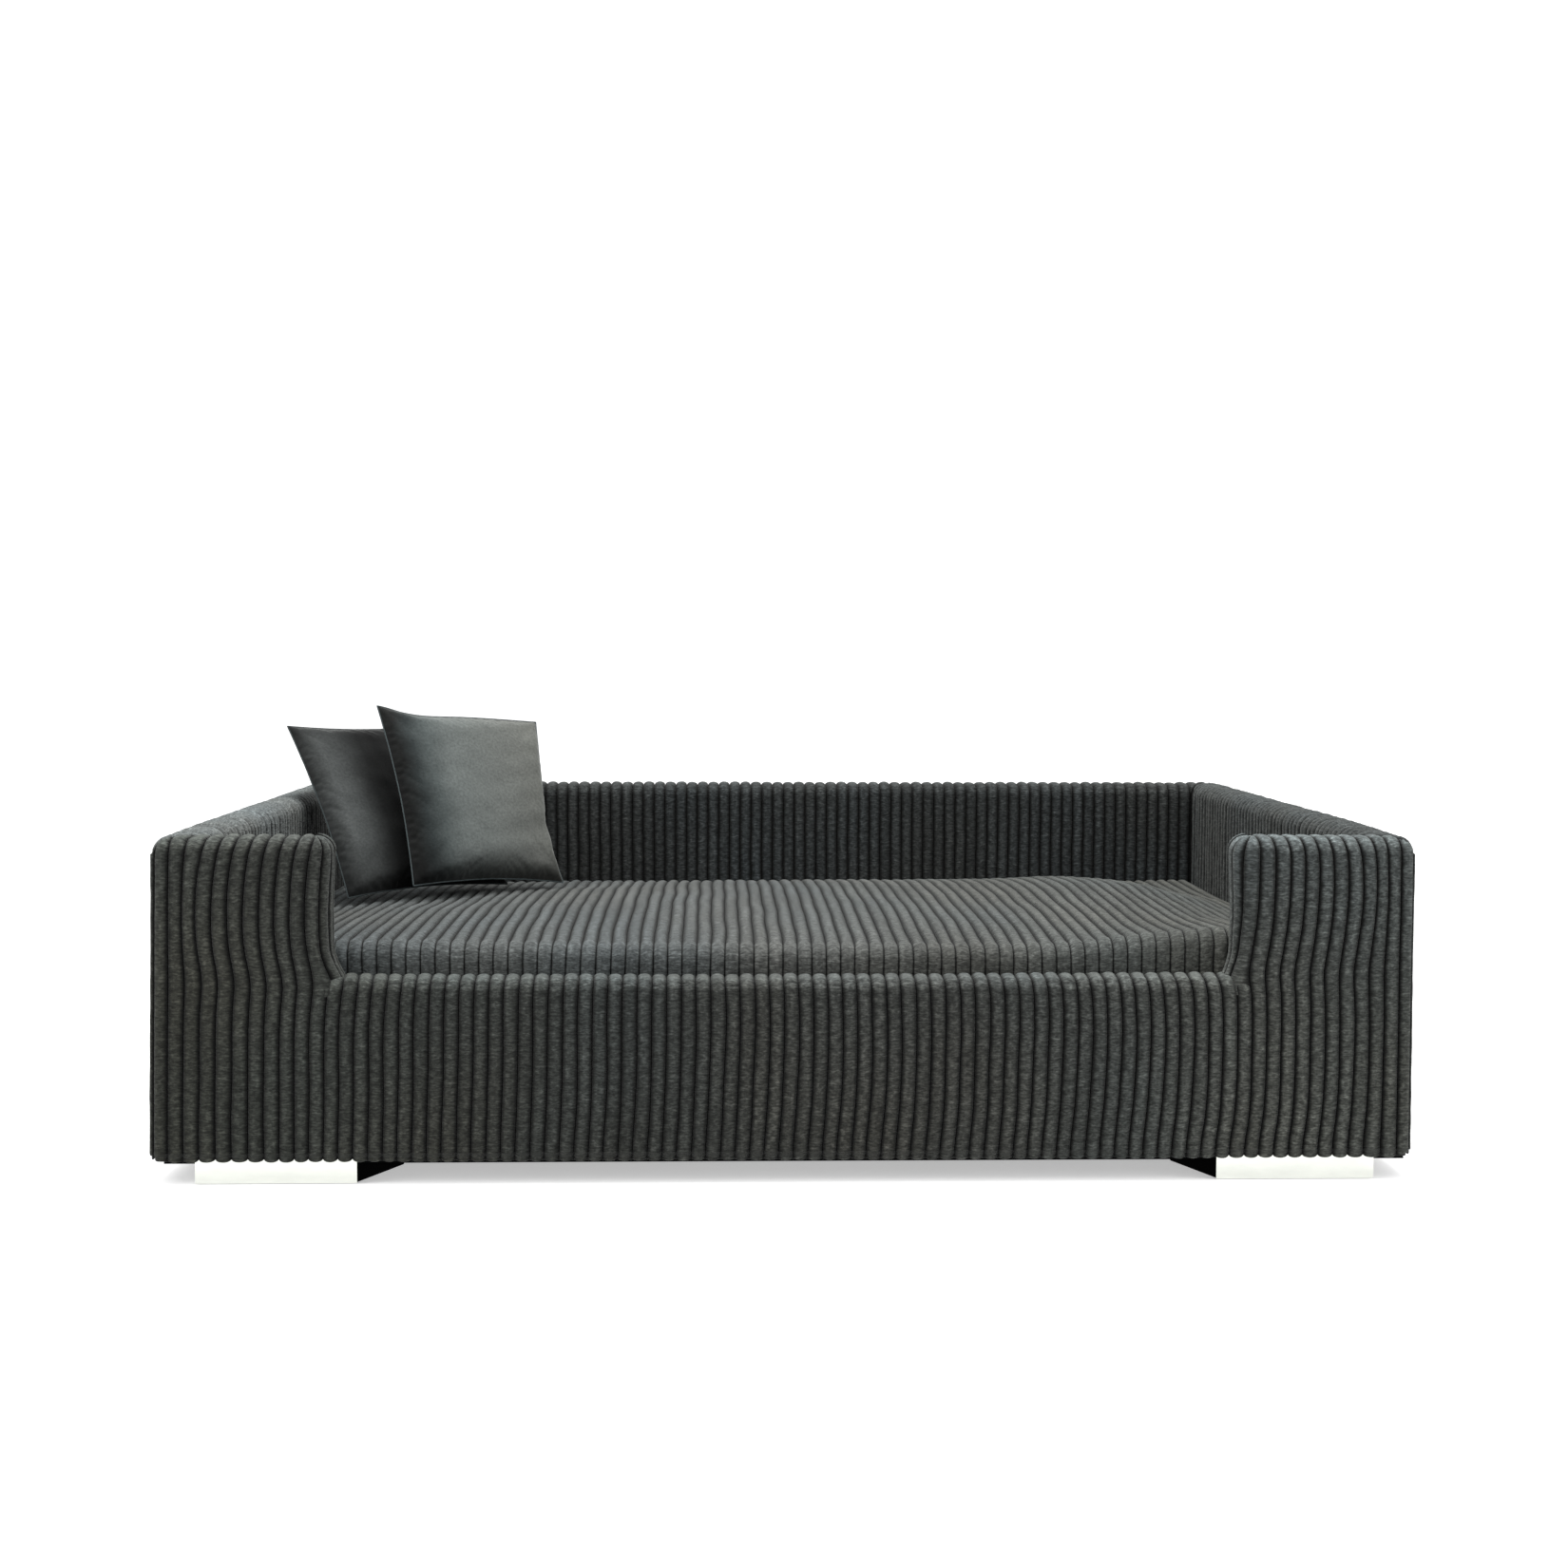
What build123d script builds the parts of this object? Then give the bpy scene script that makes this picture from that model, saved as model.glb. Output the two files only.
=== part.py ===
from build123d import *
import math
import os

os.makedirs("parts", exist_ok=True)

# ---------------------------------------------------------------------------------------------------------------
# Low dog sofa, all sizes in millimetres. Origin on the floor under the middle of the sofa. -Y is the open front,
# +X is to the right as seen from the front, +Z is up.
# ---------------------------------------------------------------------------------------------------------------

# overall
WIDTH = 1200.0          # outer width, X
DEPTH = 800.0           # outer depth, Y
WALL_TOP = 330.0        # top of back wall, arms and front posts
SILL_TOP = 196.0        # top of the low front between the posts
POST_W = 170.0          # width of the right front post
POST_W_L = 164.0        # the left one is a little narrower
HEM = 21.0              # lowest fabric above the floor

# wall build-up, outside to inside: cover, foam, board, foam, cover
WALL = 45.0
COVER = 4.0             # wide-wale corduroy with its backing
GAP = 0.3               # cover to foam
BOARD = 18.0
FOAM = 9.2
EDGE_R = 8.0            # outer rounding of the covers
FOAM_R = 9.0            # rounding of the foam's upper and outer edges
FLANGE = 29.0           # cover folded under the bottom board

# base
LINING_T = 1.5          # black bottom lining
BOTTOM_TOP = 40.0       # upper face of the bottom board
BLOCK = 40.0            # corner block side
BATTEN = 20.0
DECK_T = 9.0
DECK_TOP = 117.0        # upper face of the deck panel
DECK_LINING_T = 1.0
BEARER_X = 190.0
BEARER_T = 18.0

# feet
FOOT_INSET = 35.0       # outer end of a foot from the sofa's end
FOOT_L = 153.0          # chrome face
FOOT_WEDGE = 44.0       # sloped black inner end, at the top
FOOT_D = 60.0
FOOT_SETBACK = 2.0      # foot face behind the sofa's face
SLEEVE_T = 1.5
LIP_TOP = 24.0          # the front of the foot's chrome sleeve tucks up into a slot behind the hem
GLIDE_T = 1.5

# seat cushion
SEAT_X = 553.5          # half width
SEAT_FRONT = -353.5
SEAT_BACK = 342.0
SEAT_BOTTOM = 118.3
SEAT_TOP = 220.0
SEAT_R = 22.0           # rounding of its long upper edges
SEAT_COVER = 3.0
SEAT_WADDING = 12.0

# seat zip, on the cushion's back border
ZIP_Z = 168.0
ZIP_HALF = 415.0
TAPE_W = 24.0
TAPE_T = 1.0
COIL_W = 4.0
COIL_H = 1.6

# pillows: square lens, half thickness at each share of the half side
PILLOW = 232.0
PILLOW_LEVELS = [(1.0, 3.2), (0.86, 14.5), (0.62, 23.0), (0.30, 27.5)]
PILLOW_COVER = 1.6
REAR_POSE = ((-450.41, 141.57, 319.7), 33.69, 42.7, 0.38)     # centre, lean back, turn to the right, roll
FRONT_POSE = ((-357.5, 139.77, 332.9), 25.12, 41.01, 3.44)
PILLOW_ZIP = 150.0
PILLOW_TAPE_W = 14.0

XO, YO = WIDTH / 2, DEPTH / 2
XI, YI = XO - WALL, YO - WALL                       # inner faces of the walls
XC, YC = XO - COVER, YO - COVER                     # inner skin of the outer cover
XF, YF = XC - GAP, YC - GAP                         # outer skin of the foam
XB, YB = XF - FOAM, YF - FOAM                       # outer face of the boards
XBI, YBI = XB - BOARD, YB - BOARD                   # inner face of the boards
XFI, YFI = XBI - FOAM, YBI - FOAM                   # inner skin of the foam
XCI, YCI = XI + COVER, YI + COVER                   # outer skin of the inner cover
NOTCH = XO - POST_W                                 # side of the right front post
NOTCH_L = XO - POST_W_L                             # side of the left front post
Z_CT = WALL_TOP - COVER
Z_FT = Z_CT - GAP
Z_BT = Z_FT - FOAM                                  # board top
S_CT = SILL_TOP - COVER
S_FT = S_CT - GAP
S_BT = S_FT - FOAM
Z_BD = HEM + COVER                                  # underside of the bottom board's rim
IN_LOW = DECK_TOP + DECK_LINING_T + 0.3             # lower end of the inner cover and foam legs


def bx(x0, x1, y0, y1, z0, z1):
    """Box between two corners."""
    return Pos((x0 + x1) / 2, (y0 + y1) / 2, (z0 + z1) / 2) * Box(abs(x1 - x0), abs(y1 - y0), abs(z1 - z0))


def mirror_x(s):
    return s.mirror(Plane.YZ)


def save(shape, node):
    export_step(shape, f"parts/{node}.step")


def solids_of(shapes):
    """Several separate solids written as one group."""
    out = []
    for s in shapes:
        out += list(s.solids())
    return Compound(children=out)


def one(shape):
    """The single solid of a shape."""
    found = shape.solids()
    assert len(found) == 1, len(found)
    return found[0]


def edges_at(shape, test):
    return [e for e in shape.edges() if test(e)]


# ---------------------------------------------------------------------------------------------------- screws
SCREW_R, SCREW_L, HEAD_R, HEAD_H = 2.0, 36.0, 4.0, 2.6


def screw(length=SCREW_L):
    """Countersunk wood screw, head face at z = 0, pointing down -Z."""
    head = Pos(0, 0, -HEAD_H / 2) * Cone(SCREW_R, HEAD_R, HEAD_H)
    shank = Pos(0, 0, -(HEAD_H + (length - HEAD_H - 4) / 2)) * Cylinder(SCREW_R, length - HEAD_H - 4)
    tip = Pos(0, 0, -(length - 2)) * Cone(0.5, SCREW_R, 4)
    return one(head + shank + tip)


def screw_along(p, direction, length=SCREW_L):
    """Screw with its head face at p, driven along direction."""
    d = Vector(*direction)
    return Plane(origin=p, z_dir=(-d.X, -d.Y, -d.Z)).location * screw(length)


# panel screws: through each wall board into the corner blocks
panel_screws = []
for sx in (-1, 1):
    for sy in (-1, 1):
        for z in (58.0, 88.0):
            panel_screws.append(screw_along((sx * XB, sy * (YBI - 12), z), (-sx, 0, 0)))
        for z in (68.0, 98.0):
            panel_screws.append(screw_along((sx * (XBI - 12), sy * YB, z), (0, -sy, 0)))
# wall boards to the bottom board, from below
for x in (-380.0, 0.0, 380.0):
    for sy in (-1, 1):
        panel_screws.append(screw_along((x, sy * (YB - BOARD / 2), Z_BD), (0, 0, 1)))
for sx in (-1, 1):
    panel_screws.append(screw_along((sx * (XB - BOARD / 2), 0, Z_BD), (0, 0, 1)))
# post boards and back board into the ends of the arm boards
for sx in (-1, 1):
    for sy in (-1, 1):
        for z in (230.0, 290.0):
            panel_screws.append(screw_along((sx * (XB - BOARD / 2), sy * YB, z), (0, -sy, 0)))

# deck screws: through the deck panel into battens, blocks and bearers
deck_screws = []
for sx in (-1, 1):
    for y in (-220.0, 0.0, 220.0):
        deck_screws.append(screw_along((sx * (XBI - BATTEN / 2), y, DECK_TOP), (0, 0, -1), 26.0))
        deck_screws.append(screw_along((sx * BEARER_X, y, DECK_TOP), (0, 0, -1), 30.0))
    for sy in (-1, 1):
        deck_screws.append(screw_along((sx * 380.0, sy * (YBI - BATTEN / 2), DECK_TOP), (0, 0, -1), 26.0))


def drill(body, screws):
    out = body
    for s in screws:
        out = out - s
    return one(out)


# ---------------------------------------------------------------------------------------------------- boards
bottom = bx(-XB, XB, -YB, YB, Z_BD, BOTTOM_TOP) + bx(-(XO - FLANGE), XO - FLANGE, -(YO - FLANGE), YO - FLANGE, HEM, Z_BD)

# feet: screw places, shared by block and board
foot_y0 = -YO + FOOT_SETBACK
foot_screws = []
foot_centres = [(-XO + FOOT_INSET + 40, foot_y0 + FOOT_D - 16), (-XO + FOOT_INSET + FOOT_L - 25, foot_y0 + FOOT_D - 16)]
FOOT_SCREW_L = 31.0
for sx in (1, -1):
    for sy in (1, -1):
        for (fx, fy) in foot_centres:
            foot_screws.append(screw_along((sx * fx, sy * fy, GLIDE_T + 2.0), (0, 0, 1), FOOT_SCREW_L))

bottom = drill(one(bottom), panel_screws + foot_screws)
save(bottom, "bottom_board")

back_panel = drill(bx(-XB, XB, YBI, YB, BOTTOM_TOP, Z_BT), panel_screws)
save(back_panel, "back_panel")
arm_l = bx(-XB, -XBI, -YBI, YBI, BOTTOM_TOP, Z_BT)
# the arm boards run between the front and back boards
save(drill(arm_l, panel_screws), "left_arm_panel")
save(drill(mirror_x(arm_l), panel_screws), "right_arm_panel")
save(drill(bx(-XB, XB, -YB, -YBI, BOTTOM_TOP, S_BT), panel_screws), "front_rail_panel")
for side, n_ in ((-1, NOTCH_L), (1, NOTCH)):
    post_board = bx(side * XB, side * (n_ + COVER + GAP + FOAM), -YB, -YBI, S_BT, Z_BT)
    save(drill(post_board, panel_screws), "left_post_panel" if side < 0 else "right_post_panel")

block_top = DECK_TOP - DECK_T
blocks = []
for sx in (-1, 1):
    for sy in (-1, 1):
        b = bx(sx * XBI, sx * (XBI - BLOCK), sy * YBI, sy * (YBI - BLOCK), BOTTOM_TOP, block_top)
        blocks.append(drill(b, panel_screws + deck_screws))
save(solids_of(blocks), "corner_blocks")

battens = []
for sy in (-1, 1):
    battens.append(drill(bx(-(XBI - BLOCK), XBI - BLOCK, sy * YBI, sy * (YBI - BATTEN), block_top - BATTEN, block_top), deck_screws))
for sx in (-1, 1):
    battens.append(drill(bx(sx * XBI, sx * (XBI - BATTEN), -(YBI - BLOCK), YBI - BLOCK, block_top - BATTEN, block_top), deck_screws))
save(solids_of(battens), "deck_battens")

bearers = []
for sx in (-1, 1):
    bearers.append(drill(bx(sx * BEARER_X - BEARER_T / 2, sx * BEARER_X + BEARER_T / 2, -(YBI - BATTEN), YBI - BATTEN, BOTTOM_TOP, block_top), deck_screws))
save(solids_of(bearers), "centre_bearers")

deck = drill(bx(-XBI, XBI, -YBI, YBI, block_top, DECK_TOP), deck_screws)
save(deck, "deck_panel")
save(one(bx(-XI, XI, -YI, YI, DECK_TOP, DECK_TOP + DECK_LINING_T)), "deck_lining")

save(solids_of(panel_screws), "panel_screws")
save(solids_of(deck_screws), "deck_screws")

# ---------------------------------------------------------------------------------------------------- rounding helpers
def rounded(box, tests, r=EDGE_R):
    es = [e for e in box.edges() if any(t(e) for t in tests)]
    return box.fillet(r, es)


def mid(e):
    return e.center()


def near(a, b):
    return abs(a - b) < 0.01


def line_along(e, axis):
    d = (e @ 1) - (e @ 0)
    return {"X": abs(d.Y) < 1e-6 and abs(d.Z) < 1e-6, "Y": abs(d.X) < 1e-6 and abs(d.Z) < 1e-6, "Z": abs(d.X) < 1e-6 and abs(d.Y) < 1e-6}[axis]


# ---------------------------------------------------------------------------------------------------- foam wraps
# each wraps its board over the top, outside to inside, with its upper and outer edges rounded
def top_edge(e, axis, coord):
    """Edge along an axis at the foam's top, at one place on the other horizontal axis."""
    c_ = mid(e)
    return line_along(e, axis) and near(c_.Z, Z_FT) and near(c_.Y if axis == "X" else c_.X, coord)


back_foam = rounded(one(bx(-XF, XF, YFI, YF, Z_BD, Z_FT)), [
    lambda e: top_edge(e, "X", YF),
    lambda e: top_edge(e, "X", YFI),
    lambda e: line_along(e, "Z") and near(mid(e).Y, YF),
    lambda e: top_edge(e, "Y", -XF),
    lambda e: top_edge(e, "Y", XF),
], FOAM_R)
back_foam = back_foam - bx(-XF - 1, XF + 1, YBI, YB, Z_BD - 1, Z_BT)
back_foam = back_foam - bx(-XF - 1, XF + 1, YFI - 1, YBI + 1, Z_BD - 1, IN_LOW)
for sx in (-1, 1):
    back_foam = back_foam - bx(sx * XBI, sx * (XF + 1), YFI - 1, YBI + 1, Z_BD - 1, Z_BT)
save(one(back_foam), "back_wall_foam")
arm_foam = rounded(one(bx(-XF, -XFI, -YB, YB, Z_BD, Z_FT)), [lambda e: top_edge(e, "Y", -XF), lambda e: top_edge(e, "Y", -XFI)], FOAM_R)
for sy in (-1, 1):
    arm_foam = arm_foam - bx(-XF - 1, -XFI + 1, sy * YFI, sy * (YB + 1), Z_BT, Z_FT + 1)
    arm_foam = arm_foam - bx(-XB, -XFI + 1, sy * YFI, sy * (YB + 1), Z_BD - 1, Z_BT)
arm_foam = arm_foam - bx(-XB, -XBI, -YFI - 1, YFI + 1, Z_BD - 1, Z_BT)
arm_foam = arm_foam - bx(-XBI - 1, -XFI + 1, -YFI - 1, YFI + 1, Z_BD - 1, IN_LOW)
save(one(arm_foam), "left_arm_foam")
save(one(mirror_x(arm_foam)), "right_arm_foam")
XN = NOTCH + COVER + GAP
XN_L = NOTCH_L + COVER + GAP
rail_foam = (
    bx(-XN_L, XN, -YF, -YFI, S_BT, S_FT)
    + bx(-XF, XF, -YF, -YB, Z_BD, S_FT)
    + bx(-XBI, XBI, -YBI, -YFI, IN_LOW, S_FT)
)
rail_foam = rounded(one(rail_foam), [
    lambda e: line_along(e, "X") and near(mid(e).Z, S_FT) and near(mid(e).Y, -YF) and abs(mid(e).X) < XN_L,
    lambda e: line_along(e, "X") and near(mid(e).Z, S_FT) and near(mid(e).Y, -YFI) and abs(mid(e).X) < XN_L,
    lambda e: line_along(e, "Z") and near(mid(e).Y, -YF) and near(abs(mid(e).X), XF),
], FOAM_R)
save(one(rail_foam), "front_rail_foam")
for side, xn in ((-1, XN_L), (1, XN)):
    # built as the left one, then put on its side
    post_foam = rounded(one(bx(-XF, -xn, -YF, -YFI, S_FT, Z_FT)), [
        lambda e: top_edge(e, "X", -YF),
        lambda e: top_edge(e, "X", -YFI),
        lambda e: top_edge(e, "Y", -XF),
        lambda e: top_edge(e, "Y", -xn),
        lambda e: line_along(e, "Z") and near(mid(e).Y, -YF),
        lambda e: line_along(e, "Z") and near(mid(e).Y, -YFI) and near(mid(e).X, -xn),
    ], FOAM_R)
    post_foam = post_foam - bx(-XF - 1, -(xn + FOAM), -YB, -YBI, S_FT - 1, Z_BT)
    post_foam = post_foam - bx(-XF - 1, -XBI, -YB, -YFI + 1, S_FT - 1, Z_BT)
    if side < 0:
        save(one(post_foam), "left_post_foam")
    else:
        save(one(mirror_x(post_foam)), "right_post_foam")

# ---------------------------------------------------------------------------------------------------- covers
def lip_slots(cover):
    """Takes the slots for the feet's chrome lips out of a cover's hem."""
    f0, f1 = -XO + FOOT_INSET, -XO + FOOT_INSET + FOOT_L
    y0, y1 = -YO + FOOT_SETBACK, -YO + FOOT_SETBACK + SLEEVE_T
    for kx in (1, -1):
        for ky in (1, -1):
            cover = cover - bx(kx * (f0 - 0.3), kx * (f1 + 0.3), ky * (y0 - 0.3), ky * (y1 + 0.3), HEM - 1, LIP_TOP + 0.3)
    return one(cover)


# back wall
b = bx(-XO, XO, YI, YO, HEM, WALL_TOP)
b = rounded(one(b), [
    lambda e: line_along(e, "X") and near(mid(e).Y, YO) and near(mid(e).Z, WALL_TOP),
    lambda e: line_along(e, "Z") and near(mid(e).Y, YO),
    lambda e: line_along(e, "Y") and near(mid(e).Z, WALL_TOP),
])
back_cover = b - bx(-XC, XC, YCI, YC, Z_BD, Z_CT)
back_cover = back_cover - bx(-(XO - FLANGE), XO - FLANGE, YI - 1, YO - FLANGE, HEM - 1, Z_BD + 1)
back_cover = back_cover - bx(-XCI, XCI, YI - 1, YCI + 1, HEM - 1, IN_LOW)
for sx in (-1, 1):
    back_cover = back_cover - bx(sx * XCI, sx * XC, YI - 1, YCI + 1, Z_BD, Z_CT)
    back_cover = back_cover - bx(sx * (XO - FLANGE), sx * XCI, YI - 1, YCI + 1, HEM - 1, IN_LOW)
save(lip_slots(back_cover), "back_wall_cover")

# arms, between the back wall's and the front's covers
a = one(bx(-XO, -XI, -YI, YI, HEM, WALL_TOP))
a = rounded(a, [lambda e: line_along(e, "Y") and near(mid(e).Z, WALL_TOP) and mid(e).X < -XO + 1])
arm_cover = a - bx(-XC, -XCI, -YI - 1, YI + 1, Z_BD, Z_CT)
arm_cover = arm_cover - bx(-(XO - FLANGE), -XI + 1, -YI - 1, YI + 1, HEM - 1, IN_LOW)
save(one(arm_cover), "left_arm_cover")
save(one(mirror_x(arm_cover)), "right_arm_cover")

# front posts, floor to top at each end of the front; built as the left one, then put on its side
for side, notch in ((-1, NOTCH_L), (1, NOTCH)):
    p = one(bx(-XO, -notch, -YO, -YI, HEM, WALL_TOP))
    p = rounded(p, [
        lambda e: line_along(e, "X") and near(mid(e).Y, -YO) and near(mid(e).Z, WALL_TOP),
        lambda e: line_along(e, "Z") and near(mid(e).Y, -YO) and mid(e).X < -XO + 1,
        lambda e: line_along(e, "Y") and near(mid(e).Z, WALL_TOP) and mid(e).X < -XO + 1,
    ])
    post_cover = p - bx(-XC, -(notch + COVER), -YC, -YCI, S_CT - 0.0, Z_CT)
    post_cover = post_cover - bx(-XC, -notch + 1, -YC, -YCI, Z_BD, S_CT)
    post_cover = post_cover - bx(-(XO - FLANGE), -notch + 1, -(YO - FLANGE), -YI + 1, HEM - 1, IN_LOW)
    post_cover = post_cover - bx(-XC, -XCI, -YCI - 1, -YI + 1, Z_BD, Z_CT)
    post_cover = lip_slots(post_cover)
    if side < 0:
        save(post_cover, "left_post_cover")
    else:
        save(one(mirror_x(post_cover)), "right_post_cover")

# low front between the posts
s = one(bx(-NOTCH_L, NOTCH, -YO, -YI, HEM, SILL_TOP))
s = rounded(s, [lambda e: line_along(e, "X") and near(mid(e).Y, -YO) and near(mid(e).Z, SILL_TOP)])
sill_cover = s - bx(-NOTCH_L - 1, NOTCH + 1, -YC, -YCI, Z_BD, S_CT)
sill_cover = sill_cover - bx(-NOTCH_L - 1, NOTCH + 1, -(YO - FLANGE), -YI + 1, HEM - 1, IN_LOW)
save(lip_slots(sill_cover), "front_sill_cover")

# ---------------------------------------------------------------------------------------------------- bottom lining and feet
lin = bx(-(XO - 5), XO - 5, -(YO - 5), YO - 5, HEM - LINING_T, HEM)
save(drill(one(lin), foot_screws), "bottom_lining")

foot_top = HEM - LINING_T
fx0 = -XO + FOOT_INSET
fx1 = fx0 + FOOT_L
fy0 = foot_y0
fy1 = foot_y0 + FOOT_D
# black block: rectangular under the chrome, inner end sloping up to its full length at the top
with BuildSketch(Plane.XZ) as prof:
    with BuildLine():
        Polyline(
            (fx0 + SLEEVE_T, GLIDE_T), (fx1, GLIDE_T), (fx1 + FOOT_WEDGE, foot_top - 1.0), (fx1 + FOOT_WEDGE, foot_top), (fx0 + SLEEVE_T, foot_top),
            close=True,
        )
    make_face()
wedge = extrude(prof.sketch, amount=FOOT_D - 2 * SLEEVE_T)
wb = wedge.bounding_box()
block_fl = one(Pos(0, (fy0 + SLEEVE_T) - wb.min.Y, 0) * wedge)
# three-sided chrome sleeve: front, outer end and back
sleeve = bx(fx0, fx1, fy0, fy1, GLIDE_T * 0.6, foot_top) - bx(fx0 + SLEEVE_T, fx1 + 1, fy0 + SLEEVE_T, fy1 - SLEEVE_T, 0, foot_top + 1)
# its front face runs on up before the lining's edge and tucks into a slot behind the hem
sleeve = sleeve + bx(fx0, fx1, fy0, fy0 + SLEEVE_T, foot_top, LIP_TOP)
sleeve = one(sleeve)
glide = one(bx(fx0 + 10, fx1 - 8, fy0 + 8, fy1 - 8, 0, GLIDE_T))
for name, fxx, fyy in (("front_left", 1, 1), ("front_right", -1, 1), ("back_left", 1, -1), ("back_right", -1, -1)):
    def place(sol):
        out = sol
        if fxx < 0:
            out = out.mirror(Plane.YZ)
        if fyy < 0:
            out = out.mirror(Plane.XZ)
        return out
    # each screw's head lies in a round recess above the glide
    blk = place(block_fl)
    for (sx_, sy_) in foot_centres:
        hx, hy = fxx * sx_, fyy * sy_
        blk = blk - Pos(hx, hy, GLIDE_T + 1.0) * Cylinder(HEAD_R, 2.0)
    save(drill(blk, foot_screws), f"{name}_foot_block")
    save(one(place(sleeve)), f"{name}_foot_sleeve")
glides = []
for fxx in (1, -1):
    for fyy in (1, -1):
        g = glide
        if fxx < 0:
            g = g.mirror(Plane.YZ)
        if fyy < 0:
            g = g.mirror(Plane.XZ)
        glides.append(one(g))
save(solids_of(glides), "foot_glides")
save(solids_of(foot_screws), "foot_screws")

# ---------------------------------------------------------------------------------------------------- seat cushion
outer = one(bx(-SEAT_X, SEAT_X, SEAT_FRONT, SEAT_BACK, SEAT_BOTTOM, SEAT_TOP))
outer = rounded(outer, [lambda e: line_along(e, "X") and near(mid(e).Z, SEAT_TOP), lambda e: line_along(e, "Y") and near(mid(e).Z, SEAT_TOP)], SEAT_R)
c = SEAT_COVER
inner_cover = one(bx(-SEAT_X + c, SEAT_X - c, SEAT_FRONT + c, SEAT_BACK - c, SEAT_BOTTOM + c, SEAT_TOP - c))
inner_cover = rounded(inner_cover, [lambda e: line_along(e, "X") and near(mid(e).Z, SEAT_TOP - c), lambda e: line_along(e, "Y") and near(mid(e).Z, SEAT_TOP - c)], SEAT_R - c)
seat_cover = outer - inner_cover
seat_cover = seat_cover - bx(-ZIP_HALF, ZIP_HALF, SEAT_BACK - c - 1, SEAT_BACK + 1, ZIP_Z - 1.5, ZIP_Z + 1.5)
save(one(seat_cover), "seat_cover")
g = 0.5
w0 = one(bx(-SEAT_X + c + g, SEAT_X - c - g, SEAT_FRONT + c + g, SEAT_BACK - c - g, SEAT_BOTTOM + c, SEAT_TOP - c - g))
w0 = rounded(w0, [lambda e: line_along(e, "X") and near(mid(e).Z, SEAT_TOP - c - g), lambda e: line_along(e, "Y") and near(mid(e).Z, SEAT_TOP - c - g)], SEAT_R - c - g)
k = c + g + SEAT_WADDING
core = one(bx(-SEAT_X + k, SEAT_X - k, SEAT_FRONT + k, SEAT_BACK - k, SEAT_BOTTOM + c, SEAT_TOP - k))
save(core, "seat_foam")
save(one(w0 - core), "seat_wadding")

# zip on the back border: tape with its coil, slider riding on the coil, pull tab on the slider
tape = bx(-ZIP_HALF - 10, ZIP_HALF + 10, SEAT_BACK, SEAT_BACK + TAPE_T, ZIP_Z - TAPE_W / 2, ZIP_Z + TAPE_W / 2)
coil = bx(-ZIP_HALF, ZIP_HALF, SEAT_BACK + TAPE_T, SEAT_BACK + TAPE_T + COIL_H, ZIP_Z - COIL_W / 2, ZIP_Z + COIL_W / 2)
save(one(tape + coil), "seat_zip")


def zip_slider():
    """Slider at the origin: rides along x, its underside on the tape at y = 0, opening over the coil, +y away from it. Pull's pin runs along z."""
    body = bx(-6, 6, 0.3, 4.1, -4.6, 4.6)
    body = one(body).fillet(1.2, [e for e in one(body).edges() if line_along(e, "Y")])
    body = body - bx(-7, 7, 0, COIL_H + 0.35, -(COIL_W / 2 + 0.35), COIL_W / 2 + 0.35)
    # lugs carrying the pull's pin
    for s_ in (-1, 1):
        body = body + bx(-1.6, 1.6, 4.1, 6.5, s_ * 2.2, s_ * 3.6)
    hole = Pos(0, 5.2, 0) * Cylinder(0.75, 12, rotation=(0, 0, 0))
    body = body - hole
    return one(body)


def zip_pull(length=15.0):
    """Flat tab with its pin along z at (0, 5.2, 0), lying along -x."""
    pin = Pos(0, 5.2, 0) * Cylinder(0.68, 7.2)
    eye = Pos(0, 5.2, 0) * Cylinder(1.05, 3.6)
    tab = bx(-length, -0.4, 4.75, 5.75, -1.8, 1.8)
    wide = bx(-length, -length * 0.42, 4.75, 5.75, -3.0, 3.0)
    return one(pin + eye + tab + wide)


seat_slider_x = ZIP_HALF - 12
loc_seat_zip = Pos(seat_slider_x, SEAT_BACK + TAPE_T, ZIP_Z)
save(one(loc_seat_zip * zip_slider()), "seat_zip_slider")
save(one(loc_seat_zip * zip_pull(13.0)), "seat_zip_pull")

# ---------------------------------------------------------------------------------------------------- pillows


def lens(side, levels, less=0.0):
    """Square lens made of flat facets: x across, y through the thickness, z up."""
    rings = []
    for (share, half) in reversed(levels):
        rings.append((side / 2 * share - less, -(half - less)))
    for (share, half) in levels:
        rings.append((side / 2 * share - less, half - less))
    faces = []
    for (r, y) in rings:
        pl = Plane(origin=(0, y, 0), x_dir=(1, 0, 0), z_dir=(0, 1, 0))
        faces.append(pl * Rectangle(2 * r, 2 * r))
    return one(loft([f.face() for f in faces], ruled=True))


def frame_of(pose):
    (cx, cy, cz), lean, turn, roll = pose
    a_, b_, r_ = math.radians(lean), math.radians(turn), math.radians(roll)

    def rz(v):
        return (v[0] * math.cos(b_) - v[1] * math.sin(b_), v[0] * math.sin(b_) + v[1] * math.cos(b_), v[2])

    def rx(v):
        return (v[0], v[1] * math.cos(a_) + v[2] * math.sin(a_), -v[1] * math.sin(a_) + v[2] * math.cos(a_))

    def ry(v):
        return (v[0] * math.cos(r_) + v[2] * math.sin(r_), v[1], -v[0] * math.sin(r_) + v[2] * math.cos(r_))

    m = [rz(rx(ry(v))) for v in ((1, 0, 0), (0, 1, 0), (0, 0, 1))]
    up = rz(rx((0, 0, 1)))
    return Plane(origin=(cx, cy, cz), x_dir=m[0], z_dir=m[2]), m, up


outer_lens = lens(PILLOW, PILLOW_LEVELS)
inner_lens = lens(PILLOW, PILLOW_LEVELS, PILLOW_COVER)
fill_lens = lens(PILLOW, PILLOW_LEVELS, PILLOW_COVER + 0.3)
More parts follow.
